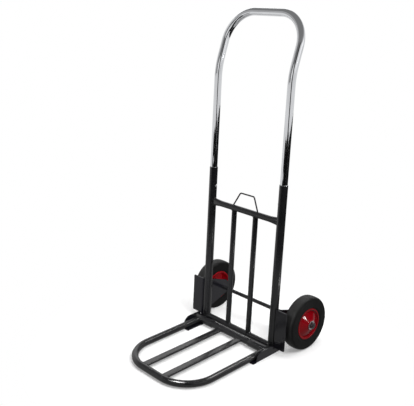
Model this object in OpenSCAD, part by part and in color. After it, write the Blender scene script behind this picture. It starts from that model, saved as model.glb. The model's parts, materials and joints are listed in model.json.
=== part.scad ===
// Folding luggage cart: a leaning tube frame with a telescoping bent handle,
// a platform that folds up on a floor-level hinge, and two wheels on one axle.
// Millimetres, +Z up, +Y to the rear. The origin lies on the floor, under the
// middle of the outline. Inside the file, Y = 0 is where the upright axes meet
// the floor, and place() moves everything to the origin at the end.

/* [Frame] */
// Distance between the axes of the two uprights
track = 280; // [240:1:340]
// Backward lean of the uprights, in degrees
lean = 3.5; // [1:0.5:6]
// Outer diameter of the upright tubes
upright_d = 25; // [20:0.5:32]
// Wall of the upright tubes
upright_wall = 1.2; // [1:0.1:1.5]
// Length of an upright along its axis, counted from the floor
upright_top = 510; // [420:1:640]
// Height of the upper crossbar along the uprights
upper_bar_at = 401; // [330:1:440]
// Diameter of the upper crossbar
upper_bar_d = 18; // [14:0.5:22]
// Height of the flattened ends of the upper crossbar
upper_bar_flat_h = 25; // [20:0.5:30]
// Thickness of the flattened ends of the upper crossbar
upper_bar_flat_t = 12; // [9:0.5:14]
// Length of the flare at each end of the upper crossbar
upper_bar_flare = 34; // [20:1:60]
// Height of the lower crossbar along the uprights
lower_bar_at = 16; // [12:0.5:24]
// Diameter of the lower crossbar
lower_bar_d = 18; // [14:0.5:22]
// Diameter of the two slats between the crossbars
slat_d = 16; // [12:0.5:18]
// Distance between the axes of the two slats
slat_pitch = 86; // [60:1:120]
// Wall of the crossbars and slats
bar_wall = 1.2; // [0.8:0.1:1.6]

/* [Hook loop] */
// Diameter of the wire
loop_wire_d = 4.5; // [3:0.1:6]
// Distance between the feet of the loop
loop_foot_pitch = 97; // [70:1:120]
// Distance between the top corners of the loop
loop_top_pitch = 55; // [35:1:70]
// Rise of the loop above the axis of the upper crossbar
loop_rise = 49; // [35:1:70]
// Radius of the corner bends, on the wire's axis
loop_bend_r = 7; // [5:0.5:10]
// Backward tilt of the loop from the uprights, in degrees
loop_tilt = 7; // [0:1:15]

/* [Hinge shoes] */
// Thickness of the shoe's sheet
shoe_t = 2; // [1.5:0.1:3]
// Reach of the sole in front of the upright axis
sole_front = 98; // [80:1:130]
// Reach of the sole behind the upright axis
sole_back = 15; // [13:1:24]
// Margin of the sole on the inner side of the upright
sole_inner = 6.5; // [4:0.5:12]
// Reach of the outer wall in front of the upright axis
wall_front = 84; // [70:1:110]
// Height of the outer wall
wall_h = 29; // [24:0.5:36]
// Radius of the wall's upper front corner
wall_round = 26; // [8:0.5:28]
// Height of the wall where it passes under the wheel guard
wall_low_h = 17; // [12:0.5:18]
// Height of the lip along the inner edge of the sole
lip_h = 5; // [3:0.5:8]
// Radius of the sole's front corners
sole_round = 5; // [2:0.5:9]

/* [Platform] */
// Reach of the platform's front tube, on its axis, from the upright axis
platform_reach = 344; // [280:1:420]
// Diameter of the platform's bent tube
platform_d = 20; // [16:0.5:24]
// Wall of the platform's bent tube
platform_wall = 1.5; // [1:0.1:2]
// Radius of the front corners, on the tube's axis
platform_corner_r = 98; // [60:1:110]
// Width of a deck bar
deck_bar_w = 20; // [12:0.5:26]
// Height of a deck bar
deck_bar_h = 7; // [5:0.5:12]
// Wall of a deck bar
deck_bar_wall = 1.2; // [0.8:0.1:1.6]
// Rounding of a deck bar's edges
deck_bar_round = 1.6; // [1:0.1:2]
// Distance between the axes of the two deck bars
deck_pitch = 85; // [60:1:120]
// Diameter of the hinge knuckles
knuckle_d = 24; // [20:0.5:30]
// Diameter of the sleeve between the knuckles
sleeve_d = 20; // [16:0.5:22]
// Wall of the sleeve
sleeve_wall = 1.5; // [1:0.1:2]
// Length of the sleeve
sleeve_len = 160; // [140:1:200]
// Diameter of the hinge rod
rod_d = 8; // [6:0.5:10]

/* [Wheels] */
// Diameter of a wheel over its tyre
wheel_d = 165; // [130:1:200]
// Width of the tyre
tyre_w = 38; // [30:0.5:46]
// Radius of the tyre's shoulders
tyre_shoulder = 9; // [5:0.5:12]
// Radius of the tread's crown
tread_crown_r = 90; // [60:1:140]
// Diameter of the rim's seat for the tyre
rim_seat_d = 91; // [80:1:110]
// Height of the rim's rolled lip above the seat
rim_lip = 2.5; // [1.5:0.1:4]
// Width of the rim over its lips
rim_w = 35; // [28:0.5:42]
// Thickness of the rim's sheet
rim_t = 2.6; // [2:0.1:4]
// Depth of the groove between the rim's outer lip and its cone
groove_depth = 4.5; // [4:0.5:8]
// Height of the hub's end above the top of the cone
hub_step = 1.5; // [0.5:0.5:4]
// Diameter of the hub
hub_d = 28; // [24:0.5:34]
// Reach of the hub outwards from the middle of the tyre
hub_out = 26; // [20:0.5:32]
// Reach of the hub inwards from the middle of the tyre
hub_in = 32; // [24:0.5:38]
// Wall of the bush inside the hub
bush_wall = 2.5; // [1.5:0.1:4]
// Diameter of the axle
axle_d = 12; // [10:0.5:14]
// Diameter of the washer outside the hub
washer_d = 27; // [20:0.5:32]
// Thickness of the washer
washer_t = 1.8; // [1:0.1:3]
// Width of the axle nut across its flats
nut_flats = 18; // [15:0.5:20]
// Thickness of the axle nut
nut_t = 6.5; // [5:0.5:10]
// Length of axle that stands out of the nut
axle_stub = 1.5; // [0.5:0.5:4]
// Length of the spacer inside the hub
spacer_len = 2.2; // [1.5:0.1:6]
// Outer diameter of the spacer
spacer_d = 20; // [16:0.5:26]

/* [Wheel brackets] */
// Thickness of the bracket's sheet
bracket_t = 3; // [2:0.5:4]
// Width of the guard outside the upright
guard_w = 43; // [30:1:60]
// Height of the guard's lower edge along the uprights
guard_low = 21; // [19:0.5:30]
// Height of the guard's upper edge along the uprights
guard_top = 141; // [120:1:170]
// Rounding of the guard's free corners
guard_round = 3; // [1:0.5:8]
// Height of the axle plate's lower edge at the guard
plate_low = 17.5; // [15:0.5:60]
// Radius of the axle plate's nose round the axle
nose_r = 26; // [16:0.5:30]
// Set-back of the guard from the front of the upright
guard_set = 1.5; // [0:0.5:4]
// Gap between the guard and the tread
wheel_gap = 8.5; // [5:0.5:16]

/* [Handle] */
// Straight length of leg between the top of an upright and the bend
handle_out = 270; // [255:1:330]
// Length of leg inside an upright when the handle is out
handle_in = 140; // [110:1:180]
// Travel of the handle
handle_travel = 250; // [180:1:255]
// Wall of the handle tube
handle_wall = 1.2; // [1:0.1:1.5]
// Bend of the loop behind the legs, in degrees
handle_bend = 16.5; // [5:0.5:30]
// Radius of that bend, on the tube's axis
handle_bend_r = 220; // [100:5:240]
// Length from the end of the bend to the top of the loop, on the tube's axis
handle_loop = 136; // [115:1:200]
// Radius of the loop's corners, on the tube's axis
handle_corner_r = 90; // [60:1:110]

/* [Lock] */
// Distance of the lock buttons below the top of the uprights
lock_drop = 58; // [40:1:90]
// Diameter of a lock button
button_d = 8; // [6:0.5:9]
// Height of the button's dome
button_dome = 2; // [1:0.1:3]
// How far a button stands out of the upright
button_proud = 3; // [2:0.1:5]
// Diameter of the button's foot inside the leg
button_foot_d = 10; // [9:0.5:11]
// Thickness of the button's foot
button_foot_t = 1.8; // [1:0.1:2.5]
// Distance of the foot's outer face from the leg's axis
button_foot_at = 7.4; // [6.5:0.1:7.6]
// Thickness of the leaf spring
leaf_t = 0.8; // [0.5:0.1:1.2]
// Width of the leaf spring
leaf_w = 8; // [5:0.5:9]
// Drop from the button to the leaf's fold
leaf_drop = 40; // [30:1:50]
// Radius of the leaf's fold, on the middle of the leaf
leaf_fold_r = 3; // [2:0.1:3.5]
// Length of the glide's plug inside the leg
glide_plug = 16; // [10:1:24]
// Length of the glide's head below the leg
glide_head = 5; // [3:0.5:10]

/* [Fits] */
// Gap round the handle legs inside the uprights
slide_gap = 0.3; // [0.2:0.05:0.4]
// Gap round turning pieces on the hinge rod and the axle
turn_gap = 0.08; // [0.05:0.01:0.12]
// Gap round the lock buttons in their holes
button_gap = 0.3; // [0.2:0.05:0.6]
// Gap round the glides in the uprights
glide_gap = 0.1; // [0.05:0.01:0.2]
// Gap at a welded or pressed seat
seat_gap = 0.04; // [0.02:0.01:0.1]
// End play of the wheels and of the platform hinge
end_play = 0.4; // [0.2:0.1:1]
// Gap under the platform tube where it comes to rest on the sole
rest_gap = 0.3; // [0.2:0.1:1]
// Gap under the hinge knuckles
knuckle_floor = 1; // [0.5:0.1:2]
// Gap between the knuckles and the uprights
knuckle_back = 5.5; // [3:0.5:10]

/* [Hidden] */

$fn = 96;
seam_lap = 0.5;
seam_swell = 0.1;
LEFT = -1;
RIGHT = 1;
far = 2000;

upright_x = track / 2;
upright_bore = upright_d - 2 * upright_wall;
handle_d = upright_bore - 2 * slide_gap;
handle_bore = handle_d - 2 * handle_wall;

// Outer side of the upright, then of the axle plate, then of the shoe's wall
side_x = upright_x + upright_d / 2;
plate_x = side_x + bracket_t;
wall_x = plate_x + shoe_t;
sole_x = upright_x - upright_d / 2 - sole_inner;

knuckle_r = knuckle_d / 2;
hinge_y = -(upright_d / 2 + knuckle_r + knuckle_back);
hinge_z = shoe_t + knuckle_floor + knuckle_r;
platform_z = shoe_t + rest_gap + platform_d / 2;
platform_y = -platform_reach;
deck_z = platform_z + 1;

wheel_r = wheel_d / 2;
guard_y = -(upright_d / 2 - guard_set);
axle_back = guard_y + bracket_t + wheel_gap + wheel_r;
axle_at = (wheel_r + axle_back * sin(lean)) / cos(lean);
axle_y = axle_back * cos(lean) + axle_at * sin(lean);
wheel_x = plate_x + spacer_len + end_play + hub_in;
washer_x = wheel_x + hub_out + end_play;
nut_x = washer_x + washer_t;
axle_end = nut_x + nut_t + axle_stub;
axle_bore = axle_d + 2 * turn_gap;
bush_d = axle_bore + 2 * bush_wall;

leg_end = upright_top - handle_in;
lock_at = upright_top - lock_drop;

// Middle of the outline from the platform's front to the rear of the wheels
y_mid = (axle_y + wheel_r + platform_y - platform_d / 2) / 2;

steel_black = [0.13, 0.13, 0.14];
plate_grey = [0.22, 0.22, 0.23];
chrome = [0.80, 0.81, 0.83];
zinc = [0.70, 0.71, 0.72];
rim_red = [0.55, 0.03, 0.07];
rubber_black = [0.09, 0.09, 0.09];
nylon_black = [0.16, 0.16, 0.16];

// Points on an arc about c, from angle a to angle b
function arc(c, r, a, b, n = 8) = [
    for (i = [0:n]) let (t = a + (b - a) * i / n) c + r * [cos(t), sin(t)]
];

// Moves the model from the foot of the uprights to its origin
module place() translate([0, -y_mid, 0]) children();

// Follows the lean of the uprights
module leaned() rotate([-lean, 0, 0]) children();

// Draws a right-hand piece on the side it belongs to
module on_side(side) {
    if (side == LEFT) mirror([1, 0, 0]) children();
    else children();
}

// Round bar that follows steps from here along +Z. [length] runs straight on, and
// [radius, angle, roll] bends it, towards +X after a roll about its own axis. A run
// reaches seam_lap into a bend, which is seam_swell thicker, so each seam closes.
module bent_bar(steps, d, i = 0) {
    if (i < len(steps)) {
        step = steps[i];
        if (len(step) == 1) {
            below = i > 0 ? seam_lap : 0;
            above = i < len(steps) - 1 ? seam_lap : 0;
            translate([0, 0, -below]) cylinder(d = d, h = step[0] + below + above);
            translate([0, 0, step[0]]) bent_bar(steps, d, i + 1);
        } else rotate([0, 0, step[2]]) {
            translate([step[0], 0, 0]) {
                rotate([90, 0, 180]) rotate_extrude(angle = step[1])
                    translate([step[0], 0]) circle(d = d + seam_swell);
                rotate([0, step[1], 0]) translate([-step[0], 0, 0]) bent_bar(steps, d, i + 1);
            }
        }
    }
}

// The same bar as a tube, open at both ends
module bent_tube(steps, d, wall) {
    last = len(steps) - 1;
    longer = [for (i = [0:last]) (i == 0 || i == last) ? [steps[i][0] + 1] : steps[i]];
    difference() {
        bent_bar(steps, d);
        translate([0, 0, -1]) bent_bar(longer, d - 2 * wall);
    }
}

// Straight cylinder along X, centred on x = 0
module cross_bar(d, len) rotate([0, 90, 0]) cylinder(d = d, h = len, center = true);

// Rectangle with rounded corners, centred
module soft_rect(w, h, r) {
    square([w - 2 * r, h], center = true);
    square([w, h - 2 * r], center = true);
    for (x = [-1, 1], y = [-1, 1])
        translate([x * (w / 2 - r), y * (h / 2 - r)]) circle(r = r);
}

// Outlines of the frame's tubes, used to cut the ends of what is welded to them
module both_uprights(d) {
    leaned() for (x = [-1, 1])
        translate([x * upright_x, 0, -upright_d]) cylinder(d = d, h = upright_top + upright_d);
}

module upper_bar_line(d) leaned() translate([0, 0, upper_bar_at]) cross_bar(d, track);

module lower_bar_line(d) leaned() translate([0, 0, lower_bar_at]) cross_bar(d, track);

module hinge_line(d) translate([0, hinge_y, hinge_z]) cross_bar(d, far);

// Upright: a tube cut level at its foot, with lock holes on its inner side
module upright() {
    color(steel_black) difference() {
        leaned() translate([upright_x, 0, -upright_d])
            cylinder(d = upright_d, h = upright_top + upright_d);
        leaned() translate([upright_x, 0, -2 * upright_d])
            cylinder(d = upright_bore, h = upright_top + 3 * upright_d);
        translate([upright_x - upright_d, -upright_d, -2 * upright_d])
            cube([2 * upright_d, 2 * upright_d, 2 * upright_d + shoe_t]);
        leaned() for (s = [lock_at, lock_at - handle_travel])
            translate([upright_x, 0, s]) rotate([0, -90, 0])
                cylinder(d = button_d + 2 * button_gap, h = upright_d);
    }
}

// Pressed end of the upper crossbar, from round to a tall oval
module flare(d, flat_t, flat_h, from_x, to_x) {
    thin = 0.01;
    hull() {
        translate([from_x, 0, 0]) rotate([0, 90, 0]) cylinder(d = d, h = thin, $fn = 32);
        translate([to_x - thin, 0, 0]) for (z = [-1, 1])
            translate([0, 0, z * (flat_h - flat_t) / 2])
                rotate([0, 90, 0]) cylinder(d = flat_t, h = thin, $fn = 32);
    }
}

module upper_bar_form(inset) {
    reach = upright_x;
    start = side_x - upright_d - upper_bar_flare;
    d = upper_bar_d - 2 * inset;
    cross_bar(d, 2 * start + 0.02);
    for (side = [LEFT, RIGHT]) on_side(side)
        flare(d, upper_bar_flat_t - 2 * inset, upper_bar_flat_h - 2 * inset, start, reach);
}

module upper_crossbar() {
    color(steel_black) difference() {
        leaned() translate([0, 0, upper_bar_at]) upper_bar_form(0);
        leaned() translate([0, 0, upper_bar_at]) upper_bar_form(bar_wall);
        both_uprights(upright_d + 2 * seat_gap);
    }
}

module lower_crossbar() {
    color(steel_black) difference() {
        lower_bar_line(lower_bar_d);
        lower_bar_line(lower_bar_d - 2 * bar_wall);
        both_uprights(upright_d + 2 * seat_gap);
    }
}

// Slat between the crossbars, its ends cut to sit on them
module slat() {
    color(steel_black) difference() {
        leaned() translate([slat_pitch / 2, 0, lower_bar_at])
            cylinder(d = slat_d, h = upper_bar_at - lower_bar_at);
        leaned() translate([slat_pitch / 2, 0, lower_bar_at - 1])
            cylinder(d = slat_d - 2 * bar_wall, h = upper_bar_at - lower_bar_at + 2);
        upper_bar_line(upper_bar_d + 2 * seat_gap);
        lower_bar_line(lower_bar_d + 2 * seat_gap);
    }
}

// Wire loop that stands on the upper crossbar
module hook_loop() {
    spread = (loop_foot_pitch - loop_top_pitch) / 2;
    slant = atan(spread / (loop_rise - upper_bar_d / 2));
    foot = loop_top_pitch / 2 + loop_rise * tan(slant);
    corner = loop_bend_r * tan((90 - slant) / 2);
    leg = [loop_rise / cos(slant) - corner];
    steps = [leg, [loop_bend_r, 90 - slant, 180], [loop_top_pitch - 2 * corner],
             [loop_bend_r, 90 - slant, 0], leg];
    color(steel_black) difference() {
        leaned() translate([0, 0, upper_bar_at]) rotate([-loop_tilt, 0, 0])
            translate([foot, 0, 0]) rotate([0, -slant, 0]) bent_bar(steps, loop_wire_d);
        upper_bar_line(upper_bar_d + 2 * seat_gap);
    }
}

// Side view of the shoe's outer wall: round at the front, low under the guard
module shoe_wall_outline() {
    step_y = guard_y - 2;
    intersection() {
        union() {
            polygon([[-wall_front, 0], [-wall_front, wall_h - wall_round],
                     [-wall_front + wall_round, wall_h], [step_y, wall_h],
                     [step_y, wall_low_h], [sole_back, wall_low_h], [sole_back, 0]]);
            translate([-wall_front + wall_round, wall_h - wall_round]) circle(r = wall_round);
        }
        translate([-wall_front, 0]) square([wall_front + sole_back, wall_h]);
    }
}

// Plan of the sole, with round front corners
module sole_outline() {
    w = wall_x - sole_x;
    translate([sole_x, -sole_front]) {
        translate([0, sole_round]) square([w, sole_front + sole_back - sole_round]);
        translate([sole_round, 0]) square([w - 2 * sole_round, 2 * sole_round]);
        for (x = [sole_round, w - sole_round]) translate([x, sole_round]) circle(r = sole_round);
    }
}

// Hinge shoe: sole on the floor, outer wall that holds the rod, low inner lip
module hinge_shoe() {
    lip_front = sole_front - sole_round;
    lip_back = hinge_y - knuckle_r - 3;
    color(plate_grey) difference() {
        union() {
            linear_extrude(shoe_t) sole_outline();
            translate([plate_x, 0, 0]) rotate([90, 0, 90]) linear_extrude(shoe_t) shoe_wall_outline();
            translate([sole_x, -lip_front, 0]) cube([shoe_t, lip_front + lip_back, lip_h]);
        }
        hinge_line(rod_d + 2 * seat_gap);
    }
}

module hinge_rod() {
    color(steel_black) translate([0, hinge_y, hinge_z]) cross_bar(rod_d, 2 * wall_x);
}

// Point where a line from p touches the nose circle at c; side picks the upper or lower line
function touch(p, c, r, side) = let (
    v = p - c,
    len = norm(v),
    a = atan2(v[1], v[0]) + side * acos(r / len)
) c + r * [cos(a), sin(a)];

// Side view of the axle plate: from the guard back to a round nose at the axle
module axle_plate_outline() {
    nose = [axle_back, axle_at];
    top = [guard_y, guard_top];
    low = [guard_y, plate_low];
    polygon([top, low, touch(low, nose, nose_r, 1), nose, touch(top, nose, nose_r, -1)]);
    translate(nose) circle(r = nose_r);
}

// Wheel bracket: an angle of sheet, guard in front of the wheel, axle plate beside it
module wheel_bracket() {
    guard_h = guard_top - guard_low;
    color(plate_grey) leaned() difference() {
        union() {
            translate([side_x, 0, 0]) rotate([90, 0, 90]) linear_extrude(bracket_t) axle_plate_outline();
            translate([side_x, guard_y + bracket_t, guard_low]) rotate([90, 0, 0])
                linear_extrude(bracket_t) {
                    square([guard_w - guard_round, guard_h]);
                    translate([0, guard_round]) square([guard_w, guard_h - 2 * guard_round]);
                    for (z = [guard_round, guard_h - guard_round])
                        translate([guard_w - guard_round, z]) circle(r = guard_round);
                }
        }
        translate([0, axle_back, axle_at]) cross_bar(axle_d + 2 * seat_gap, far);
    }
}

module axle() {
    color(steel_black) translate([0, axle_y, wheel_r]) cross_bar(axle_d, 2 * axle_end);
}

// Ring round the axle on both sides
module axle_ring(d, from_x, t) {
    for (side = [LEFT, RIGHT]) on_side(side)
        translate([from_x, axle_y, wheel_r]) rotate([0, 90, 0]) difference() {
            cylinder(d = d, h = t);
            translate([0, 0, -1]) cylinder(d = axle_d + 2 * seat_gap, h = t + 2);
        }
}

module axle_nuts() {
    corner_d = nut_flats / cos(30);
    color(zinc) for (side = [LEFT, RIGHT]) on_side(side)
        translate([nut_x, axle_y, wheel_r]) rotate([0, 90, 0]) difference() {
            cylinder(d = corner_d, h = nut_t, $fn = 6);
            translate([0, 0, -1]) cylinder(d = axle_d + 2 * seat_gap, h = nut_t + 2);
        }
}

module axle_washers() color(zinc) axle_ring(washer_d, washer_x, washer_t);

module axle_spacers() color(zinc) axle_ring(spacer_d, plate_x, spacer_len);

// Steps of the platform's U, from its right end round to its left
module platform_line(d, wall = 0) {
    end_y = hinge_y - knuckle_r * 2 / 3;
    side = [end_y - platform_y - platform_corner_r];
    steps = [side, [platform_corner_r, 90, 180], [track - 2 * platform_corner_r],
             [platform_corner_r, 90, 0], side];
    translate([upright_x, end_y, platform_z]) rotate([90, 0, 0]) {
        if (wall > 0) bent_tube(steps, d, wall);
        else bent_bar(steps, d);
    }
}

// Platform tube: a flat U whose ends are cut to sit on the hinge knuckles
module platform_tube() {
    color(steel_black) difference() {
        platform_line(platform_d, platform_wall);
        hinge_line(knuckle_d + 2 * seat_gap);
    }
}

// Deck bar: a flat tube between the front of the U and the hinge sleeve
module deck_bar() {
    len = hinge_y - platform_y;
    color(steel_black) difference() {
        translate([deck_pitch / 2, hinge_y, deck_z]) rotate([90, 0, 0])
            linear_extrude(len) soft_rect(deck_bar_w, deck_bar_h, deck_bar_round);
        translate([deck_pitch / 2, hinge_y + 1, deck_z]) rotate([90, 0, 0])
            linear_extrude(len + 2)
                square([deck_bar_w - 2 * deck_bar_wall, deck_bar_h - 2 * deck_bar_wall], center = true);
        hinge_line(sleeve_d + 2 * seat_gap);
        platform_line(platform_d + 2 * seat_gap);
    }
}

module hinge_sleeve() {
    color(steel_black) translate([0, hinge_y, hinge_z]) difference() {
        cross_bar(sleeve_d, sleeve_len);
        cross_bar(sleeve_d - 2 * sleeve_wall, sleeve_len + 2);
    }
}

// Knuckle from the sleeve out to the shoe's wall, bored for the rod
module hinge_knuckle() {
    from_x = sleeve_len / 2;
    to_x = plate_x - end_play;
    color(steel_black) translate([from_x, hinge_y, hinge_z]) rotate([0, 90, 0]) difference() {
        cylinder(d = knuckle_d, h = to_x - from_x);
        translate([0, 0, -1]) cylinder(d = rod_d + 2 * turn_gap, h = to_x - from_x + 2);
    }
}

// Handle: legs that slide in the uprights, bent back into a round-cornered loop
module handle_tube() {
    leg = [handle_in + handle_out];
    rise = [handle_loop - handle_corner_r];
    steps = [leg, [handle_bend_r, handle_bend, 90], rise, [handle_corner_r, 90, 90],
             [track - 2 * handle_corner_r], [handle_corner_r, 90, 0], rise,
             [handle_bend_r, handle_bend, -90], leg];
    color(chrome) leaned() difference() {
        translate([upright_x, 0, leg_end]) bent_tube(steps, handle_d, handle_wall);
        for (side = [LEFT, RIGHT]) on_side(side)
            translate([upright_x, 0, lock_at]) rotate([0, -90, 0])
                cylinder(d = button_d + 2 * button_gap, h = upright_d);
    }
}

// Glide plugged into the lower end of a handle leg
module leg_glide() {
    color(nylon_black) leaned() translate([upright_x, 0, leg_end]) {
        translate([0, 0, -glide_head]) cylinder(d = upright_bore - 2 * glide_gap, h = glide_head);
        cylinder(d = handle_bore - 2 * seat_gap, h = glide_plug);
    }
}

// Lock button: domed pin on a round foot, pointing to the middle of the cart
module lock_button() {
    tip = upright_d / 2 + button_proud;
    dome_r = (pow(button_d / 2, 2) + pow(button_dome, 2)) / (2 * button_dome);
    color(zinc) leaned() translate([upright_x, 0, lock_at]) rotate([0, -90, 0]) {
        translate([0, 0, button_foot_at - button_foot_t]) cylinder(d = button_foot_d, h = button_foot_t);
        translate([0, 0, button_foot_at - button_foot_t])
            cylinder(d = button_d, h = tip - button_dome - button_foot_at + button_foot_t);
        intersection() {
            translate([0, 0, tip - dome_r]) sphere(r = dome_r);
            translate([0, 0, tip - button_dome]) cylinder(d = button_d, h = button_dome + 1);
        }
    }
}

// Side view of the leaf spring: two arms that spread from a round fold
module leaf_outline() {
    fold_x = -1.5;
    arm_x = button_foot_at - button_foot_t - 0.2 - leaf_t / 2;
    rest_x = sqrt(pow(handle_bore / 2, 2) - pow(leaf_w / 2, 2)) - 0.2 - leaf_t / 2;
    front_len = leaf_drop + button_foot_d / 2;
    front_a = asin((arm_x - fold_x - leaf_fold_r) / front_len);
    back_len = leaf_drop * 0.9;
    back_a = asin((rest_x + fold_x - leaf_fold_r) / back_len);
    translate([fold_x, -leaf_drop]) {
        difference() {
            circle(r = leaf_fold_r + leaf_t / 2);
            circle(r = leaf_fold_r - leaf_t / 2);
            translate([-2 * leaf_fold_r, 0]) square(4 * leaf_fold_r);
        }
        translate([leaf_fold_r, 0]) rotate(-front_a)
            translate([-leaf_t / 2, -0.1]) square([leaf_t, front_len]);
        translate([-leaf_fold_r, 0]) rotate(back_a)
            translate([-leaf_t / 2, -0.1]) square([leaf_t, back_len]);
    }
}

// Leaf spring inside a handle leg, which pushes the lock button out
module lock_spring() {
    color(zinc) leaned() translate([upright_x, 0, lock_at]) mirror([1, 0, 0])
        rotate([90, 0, 0]) linear_extrude(leaf_w, center = true) leaf_outline();
}

// Turns a half section about the axle, with its height along X
module wheel_turn() {
    translate([wheel_x, axle_y, wheel_r]) rotate([0, 90, 0]) rotate_extrude() children();
}

// Half section of the tyre: crowned tread, round shoulders, sides drawn in to the rim
module tyre_section() {
    seat_r = rim_seat_d / 2 + seat_gap;
    bead = rim_w / 2 - rim_t - seat_gap;
    bead_r = seat_r + rim_lip;
    crown = tyre_w / 2 - tyre_shoulder;
    edge_r = wheel_r - tread_crown_r + sqrt(pow(tread_crown_r, 2) - pow(crown, 2));
    half = concat(
        [[seat_r, bead], [bead_r + 0.5, bead], [bead_r + 0.7, (rim_w - rim_t) / 2]],
        arc([bead_r + 8, tyre_w / 2 - 8], 8, 138, 90, 5),
        arc([edge_r - tyre_shoulder, crown], tyre_shoulder, 90, asin(crown / tread_crown_r), 8),
        arc([wheel_r - tread_crown_r, 0], tread_crown_r, asin(crown / tread_crown_r), 0, 5));
    flip = [for (i = [len(half) - 2:-1:0]) [half[i][0], -half[i][1]]];
    polygon(concat(half, flip));
}

module tyre() color(rubber_black) wheel_turn() tyre_section();

// Half section of the rim: barrel with rolled lips, disc pressed out to a cone, hub with its bore
module rim_section() {
    seat_r = rim_seat_d / 2;
    lip_z = rim_w / 2;
    roll = rim_t / 2;
    barrel_r = seat_r - rim_t;
    lip_r = seat_r + rim_lip - roll;
    hub_r = hub_d / 2;
    bore_r = bush_d / 2 + seat_gap;
    groove_z = lip_z - groove_depth;
    groove_r = 0.6 * (groove_depth - roll);
    cone_z = hub_out - hub_step;
    slope = atan((cone_z - groove_z) / (barrel_r - groove_r - hub_r));
    back = cone_z - rim_t / cos(slope);
    fillet = 3;
    edge = 0.4;
    polygon(concat(
        [[bore_r, hub_out], [hub_r - edge, hub_out], [hub_r, hub_out - edge], [hub_r, cone_z]],
        arc([barrel_r - groove_r, groove_z + groove_r], groove_r, 270 - slope, 360, 6),
        arc([barrel_r + roll, lip_z - roll], roll, 180, 90, 4),
        arc([lip_r, lip_z - roll], roll, 90, -90, 8),
        [[seat_r, lip_z - rim_t], [seat_r, -lip_z + rim_t]],
        arc([lip_r, -lip_z + roll], roll, 90, -90, 8),
        arc([barrel_r + roll, -lip_z + roll], roll, 270, 180, 4),
        [[barrel_r, back - (barrel_r - hub_r) * tan(slope)], [hub_r + fillet, back - fillet * tan(slope)]],
        [[hub_r, back - fillet * tan(slope) - fillet / 2]],
        [[hub_r, -hub_in + edge], [hub_r - edge, -hub_in], [bore_r, -hub_in]]));
}

module rim() color(rim_red) wheel_turn() rim_section();

module hub_bush() {
    color(nylon_black) wheel_turn() translate([axle_bore / 2, -hub_in])
        square([bush_wall, hub_in + hub_out]);
}

place() on_side(LEFT) upright();  // upright_left
place() on_side(RIGHT) upright();  // upright_right
place() upper_crossbar();
place() lower_crossbar();
place() on_side(LEFT) slat();  // slat_left
place() on_side(RIGHT) slat();  // slat_right
place() hook_loop();
place() on_side(LEFT) hinge_shoe();  // hinge_shoe_left
place() on_side(RIGHT) hinge_shoe();  // hinge_shoe_right
place() hinge_rod();
place() on_side(LEFT) wheel_bracket();  // wheel_bracket_left
place() on_side(RIGHT) wheel_bracket();  // wheel_bracket_right
place() axle();
place() axle_nuts();
place() axle_washers();
place() axle_spacers();
place() platform_tube();
place() on_side(LEFT) deck_bar();  // deck_bar_left
place() on_side(RIGHT) deck_bar();  // deck_bar_right
place() hinge_sleeve();
place() on_side(LEFT) hinge_knuckle();  // hinge_knuckle_left
place() on_side(RIGHT) hinge_knuckle();  // hinge_knuckle_right
place() handle_tube();
place() on_side(LEFT) leg_glide();  // leg_glide_left
place() on_side(RIGHT) leg_glide();  // leg_glide_right
place() on_side(LEFT) lock_button();  // lock_button_left
place() on_side(RIGHT) lock_button();  // lock_button_right
place() on_side(LEFT) lock_spring();  // lock_spring_left
place() on_side(RIGHT) lock_spring();  // lock_spring_right
place() on_side(LEFT) tyre();  // tyre_left
place() on_side(RIGHT) tyre();  // tyre_right
place() on_side(LEFT) rim();  // rim_left
place() on_side(RIGHT) rim();  // rim_right
place() on_side(LEFT) hub_bush();  // hub_bush_left
place() on_side(RIGHT) hub_bush();  // hub_bush_right
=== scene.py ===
"""Folding luggage cart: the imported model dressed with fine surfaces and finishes."""
import json
import logging
from dataclasses import dataclass
from enum import Enum
from math import atan, atan2, cos, pi, radians, sin, sqrt, tan
from typing import Sequence

import bmesh
import bpy
import numpy as np
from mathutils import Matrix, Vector


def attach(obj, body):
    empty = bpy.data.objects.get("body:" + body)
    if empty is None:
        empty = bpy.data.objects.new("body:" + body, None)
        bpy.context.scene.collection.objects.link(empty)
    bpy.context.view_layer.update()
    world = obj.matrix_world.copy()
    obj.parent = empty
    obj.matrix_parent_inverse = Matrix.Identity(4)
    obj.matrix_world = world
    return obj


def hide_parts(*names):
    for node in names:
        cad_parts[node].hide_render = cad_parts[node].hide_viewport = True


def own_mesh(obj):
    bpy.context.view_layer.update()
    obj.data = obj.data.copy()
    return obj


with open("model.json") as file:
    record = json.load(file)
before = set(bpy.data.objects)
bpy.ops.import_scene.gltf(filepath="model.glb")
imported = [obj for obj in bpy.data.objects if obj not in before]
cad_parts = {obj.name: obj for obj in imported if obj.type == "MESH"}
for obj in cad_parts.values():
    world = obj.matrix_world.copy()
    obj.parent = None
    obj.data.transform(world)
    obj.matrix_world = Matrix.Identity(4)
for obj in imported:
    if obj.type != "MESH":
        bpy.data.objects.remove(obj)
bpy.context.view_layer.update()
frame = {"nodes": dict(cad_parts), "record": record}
LOG = logging.getLogger("luggage_cart")
Array = np.ndarray
Node = bpy.types.Node
Socket = bpy.types.NodeSocket
Pair = tuple[float, float]
Triple = tuple[float, float, float]
MM = 0.001
TUBE_COLUMNS = 48
WHEEL_COLUMNS = 144
ROD_COLUMNS = 32
WIRE_COLUMNS = 24
NUT_COLUMNS = 96
BEAD_COLUMNS = 10
CARD_COLUMNS = 80
CEILING_COLUMNS = 49
CLOUD = (0.3, 0.7)
BEAD_WAVE = 0.14
SEAM_GAP = 2e-6
SLIVER = 1e-6
BEVEL_ANGLE = radians(40)


def stacked(*parts: Array | float) -> Array:
    """Coordinates stacked into points, each part spread to the shape of the others."""
    return np.stack(np.broadcast_arrays(*parts), axis=-1)


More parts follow.
